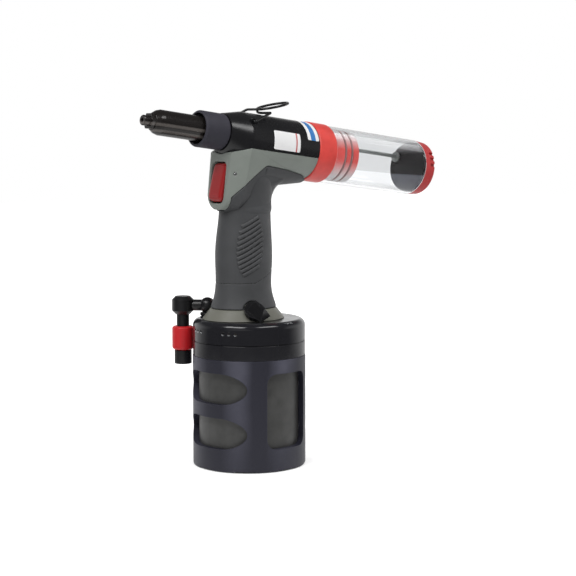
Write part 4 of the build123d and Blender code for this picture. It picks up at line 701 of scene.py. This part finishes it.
def add_skin(name, node, material, rounds):
    """A smoothed skin that stands for a moulded solid."""
    solid = frame["nodes"][node]
    piece = add_piece(name, solid.data.copy(), solid["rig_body"], material)
    cells = piece.modifiers.new("even cells", "REMESH")
    cells.mode = "VOXEL"
    cells.voxel_size = sizes().skin_voxel
    cells.use_smooth_shade = True
    soft = piece.modifiers.new("soft edges", "SMOOTH")
    soft.factor = 0.5
    soft.iterations = rounds
    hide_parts(node)


def mesh_from(name, points, faces):
    """A smooth shaded mesh."""
    mesh = bpy.data.meshes.new(name)
    mesh.from_pydata(points, [], faces)
    mesh.polygons.foreach_set("use_smooth", [True] * len(faces))
    mesh.update()
    return mesh


class RIVETER_OT_base(bpy.types.Operator):
    """Finish the rubber boot, the air cylinder behind its windows and the head's ring"""

    bl_idname = "riveter.base"
    bl_label = "Base"

    def execute(self, context):
        tones = colours()
        boot = boot_rubber("boot rubber", tones.boot, tones.boot_painted_sheen)
        dress(["base_boot"], boot, sizes().boot_edge, 3)
        dress(["air_cylinder"], turned("dark cylinder", tones.cylinder, 0.45, 0.3, UPRIGHT))
        dress(["cylinder_head"], gloss_black("head gloss", tones.lid, 0.2), sizes().moulded_edge)
        return {"FINISHED"}


class RIVETER_OT_lid(bpy.types.Operator):
    """Finish the lid with painted highlights on the lower lips of its exhaust holes"""

    bl_idname = "riveter.lid"
    bl_label = "Lid"

    def execute(self, context):
        tones = colours()
        black = lid_black("lid gloss", tones.lid, tones.aluminium, 0.12, LID_TOP - sizes().hole_depth)
        dress(["lid_cover"], black, sizes().lid_edge)
        return {"FINISHED"}


class RIVETER_OT_handle(bpy.types.Operator):
    """Make the skins of the housing and the rubber grip"""

    bl_idname = "riveter.handle"
    bl_label = "Handle"

    def execute(self, context):
        tones = colours()
        housing = housing_plastic("housing plastic", tones.housing, tones.skirt, 0.4)
        add_skin("housing_skin", "handle_casing", housing, sizes().housing_rounds)
        grip = rubber("grip rubber", tones.grip, 0.5, GRIP_GRAIN, RUBBER_DEPTH, crease_shade=0.12, sheen=0.45)
        add_skin("grip_skin", "rubber_grip", grip, sizes().grip_rounds)
        return {"FINISHED"}


class RIVETER_OT_trigger(bpy.types.Operator):
    """Make the skin of the trigger and finish its pin"""

    bl_idname = "riveter.trigger"
    bl_label = "Trigger"

    def execute(self, context):
        tones = colours()
        red = moulded("trigger red", tones.trigger, 0.3, 1.3)
        add_skin("trigger_skin", "trigger", red, sizes().trigger_rounds)
        dress(["trigger_pin"], turned("pin steel", tones.steel, 0.25, 1.0, LEFT), sizes().hard_edge)
        return {"FINISHED"}


class RIVETER_OT_switch(bpy.types.Operator):
    """Finish the vacuum switch"""

    bl_idname = "riveter.switch"
    bl_label = "Vacuum switch"

    def execute(self, context):
        black = gloss_black("switch gloss", colours().fitting, 0.16, edge_lightening=6.0)
        dress(["vacuum_switch"], black, sizes().moulded_edge)
        return {"FINISHED"}


class RIVETER_OT_head(bpy.types.Operator):
    """Finish the barrel and its oil screw"""

    bl_idname = "riveter.head"
    bl_label = "Head"

    def execute(self, context):
        tones = colours()
        dress(["head_barrel"], gloss_black("barrel black", tones.barrel, 0.22), sizes().hard_edge)
        dress(["oil_screw"], turned("screw black", tones.nose, 0.35, 0.6, LEFT), sizes().hard_edge)
        return {"FINISHED"}


class RIVETER_OT_nose(bpy.types.Operator):
    """Finish the nose casing, nosepiece, lock nut and rubber sleeve"""

    bl_idname = "riveter.nose"
    bl_label = "Nose"

    def execute(self, context):
        tones = colours()
        steel = nose_black("nose black", tones.nose, tones.nose_painted_streak)
        dress(["nose_casing", "nosepiece", "nose_nut"], steel, sizes().hard_edge)
        sleeve = rubber("sleeve rubber", tones.nose_rubber, 0.6, SLEEVE_GRAIN, RUBBER_DEPTH)
        dress(["nose_sleeve"], sleeve, sizes().sleeve_edge, 3)
        return {"FINISHED"}


class RIVETER_OT_collector(bpy.types.Operator):
    """Finish the collar, bottle, baffle rod, end plug and end cap"""

    bl_idname = "riveter.collector"
    bl_label = "Mandrel collector"

    def execute(self, context):
        tones = colours()
        red = collar_red("collar red", tones.collar, tones.pale, 0.34)
        dress(["collector_collar"], red, sizes().hard_edge)
        dress(["collar_seals"], rubber("ring rubber", tones.ring, 0.4, SOFT_GRAIN, SOFT_DEPTH))
        dress(["collector_bottle"], clear_wall("clear bottle", tones.clear))
        dress(["baffle_rod"], turned("rod grey", tones.rod, 0.35, 0.3, ALONG), sizes().hard_edge)
        plug = plug_black("plug gloss", tones.plug, tones.plug_top_painted_reflection, tones.plug_foot_painted_reflection)
        dress(["end_plug"], plug, sizes().hard_edge)
        dress(["end_cap"], moulded("cap red", tones.cap, 0.36, 1.2), sizes().hard_edge)
        return {"FINISHED"}


# Route of the hanger's wire: metres ahead of, left of and above the nose axis
LEFT_LEG = (
    (0.011, 0.0152, 0.0108), (0.011, 0.0216, 0.0108), (-0.008, 0.0165, 0.0203), (-0.008, -0.0025, 0.0203),
)
RIGHT_LEG = (
    (-0.008, 0.0025, 0.0233), (-0.008, -0.0165, 0.0233), (0.011, -0.0216, 0.0108), (0.011, -0.0152, 0.0108),
)
BEND_PLACE = -0.008
FAR_BAR = 0.0233
EYE_POINTS = 12
EYE_MIDDLE = -0.0217
EYE_HALF_LENGTH = 0.0134
EYE_HALF_WIDTH = 0.0117
EYE_SLOPE = 0.34

# Studs at the hanger's pivots: shares of the way from the barrel's middle out to the wire
STUD_SHARES = (0.8, 0.85, 0.9)


def wire_curve(name, points, radius):
    """A round wire along smooth points."""
    curve = bpy.data.curves.new(name, "CURVE")
    curve.dimensions = "3D"
    curve.bevel_depth = radius
    curve.bevel_resolution = 5
    curve.resolution_u = 8
    curve.use_fill_caps = True
    spline = curve.splines.new("NURBS")
    spline.points.add(len(points) - 1)
    for control, point in zip(spline.points, points):
        control.co = (*point, 1.0)
    spline.order_u = 3
    spline.use_endpoint_u = True
    return curve


def head_point(place, left, rise):
    """Point ahead of, left of and above the nose axis's origin."""
    return NOSE + ALONG * place + LEFT * left + HEAD_UP * rise


class RIVETER_OT_hanger(bpy.types.Operator):
    """Bend the wire hanger with its round eye"""

    bl_idname = "riveter.hanger"
    bl_label = "Hanger"

    def execute(self, context):
        eye = []
        for step in range(EYE_POINTS):
            turn = math.tau * (step + 0.5) / EYE_POINTS
            place = EYE_MIDDLE + EYE_HALF_LENGTH * math.cos(turn)
            eye.append((place, -EYE_HALF_WIDTH * math.sin(turn), FAR_BAR + (BEND_PLACE - place) * EYE_SLOPE))
        route = [head_point(*stop) for stop in (*LEFT_LEG, *eye, *RIGHT_LEG)]
        points = self.soften(route, sizes().hanger_bend)
        black = gloss_black("wire black", colours().wire, 0.22)
        wire = wire_curve("hanger_wire", points, sizes().hanger_wire)
        piece = add_piece("hanger_wire", wire, frame["nodes"]["hanger"]["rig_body"], black)
        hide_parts("hanger")
        # The studs' edges lighter eightfold: a painted highlight.
        studs = gloss_black("stud black", colours().fitting, 0.15, 0.5, 8.0)
        for name, (place, left, rise) in (("left_stud", LEFT_LEG[1]), ("right_stud", RIGHT_LEG[-2])):
            ends = [head_point(place, left * share, rise) for share in STUD_SHARES]
            add_piece(name, wire_curve(name, ends, sizes().stud_radius), "tool_body", studs)
        return {"FINISHED"}

    def soften(self, route, reach):
        """Stops of a bent wire with one more on each side of its sharp bends."""
        points = [route[0]]
        for before, stop, after in zip(route, route[1:], route[2:]):
            back, ahead = before - stop, after - stop
            if min(back.length, ahead.length) > 2 * reach:
                points += [stop + back.normalized() * reach, stop, stop + ahead.normalized() * reach]
            else:
                points.append(stop)
        return points + [route[-1]]


class RIVETER_OT_inlet(bpy.types.Operator):
    """Finish the swivelling air inlet and its slide valve"""

    bl_idname = "riveter.inlet"
    bl_label = "Air inlet"

    def execute(self, context):
        tones = colours()
        black = gloss_black("fitting black", tones.fitting, 0.3)
        dress(["inlet_post", "inlet_swivel", "inlet_elbow", "hose_connector"], black, sizes().moulded_edge)
        dress(["slide_sleeve"], moulded("slide red", tones.slide, 0.32, 1.3), sizes().moulded_edge)
        return {"FINISHED"}


# Springs with the slides that shorten them, and the one that its slide draws out
SHORTENED = {
    "return_spring": "pull_slide",
    "trigger_spring": "trigger_stem_slide",
    "valve_spring": "valve_spool_slide",
}
DRAWN_OUT = ("jaw_spring", "jaw_pusher_slide")


def spring_facts(node, joint):
    """Mesh and finish of a spring, the axis of its slide, and how far the coil starts and ends along that."""
    solid = frame["nodes"][node]
    axis = Vector(joint["axis"])
    reaches = [vertex.co.dot(axis) for vertex in solid.data.vertices]
    return solid.data.copy(), solid.material_slots[0].material, axis, min(reaches), max(reaches)


class RIVETER_OT_inner(bpy.types.Operator):
    """Finish the pieces inside the tool and put copies of its springs' coils in place of their solids"""

    bl_idname = "riveter.inner"
    bl_label = "Inner works"

    def execute(self, context):
        tones = colours()
        groups = (
            (turned("steel upright", tones.steel, 0.28, 1.0, UPRIGHT),
             ["base_retaining_ring", "intensifier_rod", "piston_nut", "handle_screws", "pressure_tube",
              "valve_spring", "valve_spool"]),
            (turned("steel lying", tones.steel, 0.28, 1.0, ALONG),
             ["trigger_valve_stem", "trigger_spring", "pull_piston", "return_spring", "jaw_guide", "jaw_top",
              "jaw_right", "jaw_left", "jaw_pusher", "jaw_spring"]),
            (turned("aluminium upright", tones.aluminium, 0.32, 1.0, UPRIGHT), ["base_plate", "air_piston"]),
            (turned("aluminium lying", tones.aluminium, 0.32, 1.0, ALONG), ["rear_plug"]),
            (turned("bronze upright", tones.bronze, 0.3, 1.0, UPRIGHT), ["rod_gland", "valve_sleeve"]),
            (turned("bronze lying", tones.bronze, 0.3, 1.0, ALONG), ["rod_bush", "trigger_valve_body"]),
            (rubber("seal rubber", tones.seal, 0.5, SOFT_GRAIN, SOFT_DEPTH),
             ["base_plate_seal", "air_piston_seal", "rod_gland_seal", "rod_seal", "pull_piston_seal",
              "rear_plug_seal"]),
            (felt("silencer felt", tones.felt), ["exhaust_silencer"]),
        )
        for material, nodes in groups:
            dress(nodes, material)
        for node, joint in SHORTENED.items():
            self.add_shortened(node, JOINTS[joint])
        self.add_drawn_out(DRAWN_OUT[0], JOINTS[DRAWN_OUT[1]])
        return {"FINISHED"}

    def add_shortened(self, node, joint):
        """A copy of the spring's coil that rides on its slide's parent body."""
        mesh, finish, axis, near, far = spring_facts(node, joint)
        piece = add_piece(node + "_coil", mesh, joint["parent"], finish)
        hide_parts(node)
        keep = 1 - joint["range_m"][1] / (far - near)
        axis * far
        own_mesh(piece)

    def add_drawn_out(self, node, joint):
        """A copy of the spring's coil, on no body."""
        mesh, finish, axis, near, far = spring_facts(node, joint)
        piece = new_piece(node + "_coil", mesh, finish)
        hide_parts(node)
        axis * near
        axis * far
        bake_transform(piece)


# Blank labels on the barrel: places along the collector axis, angles up from the tool's left, plain band
SIDE_LABEL = ("side_label", (-0.0363, -0.0089), (-9.0, 28.5), (0.12, 0.17))
REAR_LABEL = ("rear_label", (-0.0565, -0.0446), (19.0, 86.0), (0.3, 0.72))
LABEL_COLUMNS = 24
LABEL_ROWS = 24
LABEL_LIFT = 0.00002
BAND_BLUR = 0.01


def barrel_point(place, turn, radius):
    """Point on the barrel at a place along it and a turn up from the tool's left, in radians."""
    out = LEFT * math.cos(turn) + HEAD_UP * math.sin(turn)
    return COLLECTOR + ALONG * place + out * radius


def label_mesh(name, places, turns, thickness, corner):
    """A thin closed sheet with round corners that lies on the barrel."""
    columns, rows = LABEL_COLUMNS, LABEL_ROWS
    half_wide = (places[1] - places[0]) / 2
    half_high = math.radians(turns[1] - turns[0]) / 2 * BARREL_RADIUS
    middle = ((places[0] + places[1]) / 2, math.radians(turns[0] + turns[1]) / 2)
    points = []
    for radius in (BARREL_RADIUS + LABEL_LIFT, BARREL_RADIUS + thickness):
        for row in range(rows + 1):
            rise = half_high * math.sin((row / rows - 0.5) * math.pi)
            past = max(0.0, abs(rise) - half_high + corner)
            reach = half_wide - corner + math.sqrt(max(0.0, corner ** 2 - past ** 2))
            for column in range(columns + 1):
                across = reach * (2 * column / columns - 1)
                points.append(barrel_point(middle[0] + across, middle[1] + rise / BARREL_RADIUS, radius))
    layer = (rows + 1) * (columns + 1)
    faces = []
    for row in range(rows):
        for column in range(columns):
            first = row * (columns + 1) + column
            loop = (first, first + 1, first + columns + 2, first + columns + 1)
            faces.append(loop)
            faces.append(tuple(layer + corner_index for corner_index in reversed(loop)))
    rim = list(range(columns + 1))
    rim += [row * (columns + 1) + columns for row in range(1, rows + 1)]
    rim += [rows * (columns + 1) + column for column in range(columns - 1, -1, -1)]
    rim += [row * (columns + 1) for row in range(rows - 1, 0, -1)]
    for first, second in zip(rim, rim[1:] + rim[:1]):
        faces.append((first, first + layer, second + layer, second))
    return mesh_from(name, points, faces)


class RIVETER_OT_labels(bpy.types.Operator):
    """Add the blank labels on the barrel"""

    bl_idname = "riveter.labels"
    bl_label = "Labels"

    def execute(self, context):
        tones = colours()
        for (name, places, turns, band), tone in ((SIDE_LABEL, tones.red), (REAR_LABEL, tones.blue)):
            material = self.paper(name, tones.paper, tone, places, *band)
            mesh = label_mesh(name, places, turns, sizes().label_thickness, sizes().label_corner)
            add_piece(name, mesh, "tool_body", material)
        return {"FINISHED"}

    def paper(self, name, paper, tone, places, band_from, band_to):
        """Satin paper with one plain band across it, given as shares of its width from the rear."""
        material, wire = new_finish(name + " paper")
        share = (along_collector(wire) - places[0]) / (places[1] - places[0])
        band = within(share, band_from, band_to, BAND_BLUR)
        body = blend_colours(wire, clouds(wire, PAPER_CLOUDS), shade(paper, 0.96), paper)
        close_finish(wire, {
            "Base Color": blend_colours(wire, band, body, tone),
            "Roughness": 0.3 + clouds(wire, PAPER_DULLING) * 0.1,
        })
        return material


# Softboxes: turn from the camera's heading and elevation in degrees, width and height, whether gloss shows it
SOFTBOXES = {
    "key softbox": (36, 47, (0.72, 0.36), True),
    "fill softbox": (-48, 50, (0.75, 0.3), True),
    "rear softbox left": (-130, 36, (0.5, 0.5), False),
    "rear softbox right": (135, 36, (0.5, 0.5), False),
}
LAMP_DISTANCE = 1.2

# Soft cards that gloss shows: turn from the camera's heading, cosines of its inner and outer edge, strength
SOFT_CARDS = ((20, 0.96, 0.84, 0.55), (-108, 0.95, 0.82, 0.7))

# Backdrop that gloss shows: how far behind the tool it starts and is full, and where it fades upwards
BACKDROP_SIDE = (-0.15, 0.55)
BACKDROP_TOP = (0.15, 0.5)

# Floor: its colour, the shares of the shadow's radius where it starts to whiten and is white, its glow in the
# shadow, the share of the boot's radius without glow, and its place and strength in gloss
FLOOR_COLOUR = (0.8, 0.8, 0.8, 1.0)
WHITE_FROM = 0.4
WHITE_TO = 2.5
SHADOW_GLOW = 0.45
DARK_SHARE = 0.94
GLOSS_BEHIND = 0.5
GLOSS_NEAR = 0.8
GLOSS_FAR = 0.55
GLOSS_FLOOR = 0.9


def level_way(azimuth):
    """Level direction at an angle from the tool's left towards its nose."""
    return Vector((math.sin(azimuth), math.cos(azimuth), 0))


class RIVETER_OT_stage(bpy.types.Operator):
    """Set the pale floor, the soft lamps, the even light and the camera"""

    bl_idname = "riveter.stage"
    bl_label = "Stage"

    def execute(self, context):
        stage = context.scene.riveter_stage
        context.scene.view_settings.view_transform = "Standard"
        heading = stage.camera_azimuth + stage.camera_yaw
        behind = -level_way(heading)
        self.floor(stage, behind)
        self.even_light(stage, heading, behind)
        powers = (stage.key_power, stage.fill_power, stage.rear_power, stage.rear_power)
        for power, (name, (turn, elevation, size, in_gloss)) in zip(powers, SOFTBOXES.items()):
            lamp = self.lamp(name, power, heading + math.radians(turn), elevation, size)
            lamp.visible_glossy = in_gloss
        self.camera(context.scene, stage, heading)
        return {"FINISHED"}

    def floor(self, stage, behind):
        """A pale floor: white away from the tool, with its shadow, and dim ahead of it in gloss."""
        reach = stage.floor_radius
        points = [(-reach, -reach, 0), (reach, -reach, 0), (reach, reach, 0), (-reach, reach, 0)]
        floor = bpy.data.objects.new("floor", mesh_from("floor", points, [(0, 1, 2, 3)]))
        floor.location.z = -stage.floor_gap
        bpy.context.scene.collection.objects.link(floor)
        material, wire = new_finish("floor white")
        distance = wire.add("ShaderNodeVectorMath", {"operation": "LENGTH"}, {0: here(wire)}, "Value")
        away = between(distance, WHITE_FROM * stage.shadow_radius, WHITE_TO * stage.shadow_radius)
        rays = wire.add("ShaderNodeLightPath", output="Is Camera Ray")
        glossy = wire.add("ShaderNodeLightPath", output="Is Glossy Ray")
        through = wire.add("ShaderNodeLightPath", output="Is Transmission Ray")
        seen = rays.math("MAXIMUM", rays, through)
        lit = wire.add("ShaderNodeBsdfDiffuse", None, {"Color": FLOOR_COLOUR}, "BSDF")
        open_floor = between(distance, DARK_SHARE * BOOT_RADIUS, BOOT_RADIUS)
        strength = seen * open_floor * (SHADOW_GLOW + (1 - SHADOW_GLOW) * away)
        glow = wire.add("ShaderNodeEmission", None, {"Strength": strength}, "Emission")
        both = wire.add("ShaderNodeAddShader", None, {0: lit, 1: glow}, "Shader")
        bright = between(part_of(wire, here(wire), behind), 0.0, GLOSS_BEHIND)
        close = 1 - between(distance, GLOSS_NEAR * stage.shadow_radius, GLOSS_FAR)
        bright = bright.math("MAXIMUM", bright, close)
        mirrored = stage.dim_side + (GLOSS_FLOOR - stage.dim_side) * bright
        gloss = wire.add("ShaderNodeEmission", None, {"Strength": mirrored}, "Emission")
        links = {0: glossy * (1 - seen), 1: both, 2: gloss}
        wire.add("ShaderNodeOutputMaterial", None, {"Surface": wire.add("ShaderNodeMixShader", None, links)})
        paint(floor, material)

    def even_light(self, stage, heading, behind):
        """White for the camera and clear walls, a white backdrop in the gloss, and a dimmer even light."""
        world = bpy.data.worlds.new("studio")
        world.use_nodes = True
        world.node_tree.nodes.clear()
        bpy.context.scene.world = world
        wire = Wire(world.node_tree)
        seen = wire.add("ShaderNodeLightPath", output="Is Camera Ray")
        through = wire.add("ShaderNodeLightPath", output="Is Transmission Ray")
        glossy = wire.add("ShaderNodeLightPath", output="Is Glossy Ray")
        white = seen.math("MAXIMUM", seen, through)
        way = wire.add("ShaderNodeTexCoord", output="Generated")
        backdrop = between(part_of(wire, way, behind), *BACKDROP_SIDE)
        backdrop = backdrop * (1 - between(part_of(wire, way, UPRIGHT), *BACKDROP_TOP))
        gloss = stage.dim_side + (1 - stage.dim_side) * backdrop
        for turn, inner, outer, strength in SOFT_CARDS:
            card = between(part_of(wire, way, level_way(heading + math.radians(turn))), outer, inner)
            gloss = gloss.math("MAXIMUM", gloss, card * strength)
        shared = stage.ambient + (gloss - stage.ambient) * glossy
        strength = shared + (1 - shared) * white
        light = wire.add("ShaderNodeBackground", None, {"Strength": strength, "Color": (1, 1, 1, 1)})
        wire.add("ShaderNodeOutputWorld", None, {"Surface": light})

    def lamp(self, name, power, azimuth, elevation, size):
        """A softbox aimed at the tool's middle; azimuth runs from the tool's left to its nose."""
        lamp = bpy.data.lights.new(name, "AREA")
        lamp.shape = "RECTANGLE"
        lamp.size, lamp.size_y = size
        lamp.energy = power
        rise = math.radians(elevation)
        out = level_way(azimuth) * math.cos(rise) + UPRIGHT * math.sin(rise)
        holder = bpy.data.objects.new(name, lamp)
        holder.location = MIDDLE + out * LAMP_DISTANCE
        holder.rotation_euler = (-out).to_track_quat("-Z", "Y").to_euler()
        bpy.context.scene.collection.objects.link(holder)
        return holder

    def camera(self, scene, stage, heading):
        """The camera at the photograph's place."""
        view = bpy.data.cameras.new("camera")
        view.sensor_width = 36.0
        view.lens = stage.camera_lens
        camera = bpy.data.objects.new("camera", view)
        place = level_way(stage.camera_azimuth) * stage.camera_distance
        camera.location = place + UPRIGHT * stage.camera_height
        forward = -level_way(heading) * math.cos(stage.camera_pitch) - UPRIGHT * math.sin(stage.camera_pitch)
        camera.rotation_euler = forward.to_track_quat("-Z", "Y").to_euler()
        scene.collection.objects.link(camera)
        scene.camera = camera


OPERATORS = (
    RIVETER_OT_base,
    RIVETER_OT_lid,
    RIVETER_OT_handle,
    RIVETER_OT_trigger,
    RIVETER_OT_switch,
    RIVETER_OT_head,
    RIVETER_OT_nose,
    RIVETER_OT_collector,
    RIVETER_OT_hanger,
    RIVETER_OT_inlet,
    RIVETER_OT_inner,
    RIVETER_OT_labels,
    RIVETER_OT_stage,
)


class RIVETER_PT_panel(bpy.types.Panel):
    """Lists the riveter's pieces"""

    bl_idname = "RIVETER_PT_panel"
    bl_label = "Riveter"
    bl_space_type = "VIEW_3D"
    bl_region_type = "UI"
    bl_category = "Riveter"

    def draw(self, context):
        for operator in OPERATORS:
            self.layout.operator(operator.bl_idname)


GROUPS = {
    "riveter_colours": RiveterColours,
    "riveter_sizes": RiveterSizes,
    "riveter_stage": RiveterStage,
}


def register():
    for group in GROUPS.values():
        bpy.utils.register_class(group)
    for name, group in GROUPS.items():
        setattr(bpy.types.Scene, name, PointerProperty(type=group))
    for operator in OPERATORS:
        bpy.utils.register_class(operator)
    bpy.utils.register_class(RIVETER_PT_panel)


def unregister():
    bpy.utils.unregister_class(RIVETER_PT_panel)
    for operator in reversed(OPERATORS):
        bpy.utils.unregister_class(operator)
    for name, group in GROUPS.items():
        delattr(bpy.types.Scene, name)
        bpy.utils.unregister_class(group)


def main():
    register()
    for operator in OPERATORS:
        family, verb = operator.bl_idname.split(".")
        getattr(getattr(bpy.ops, family), verb)()


if __name__ == "__main__":
    main()
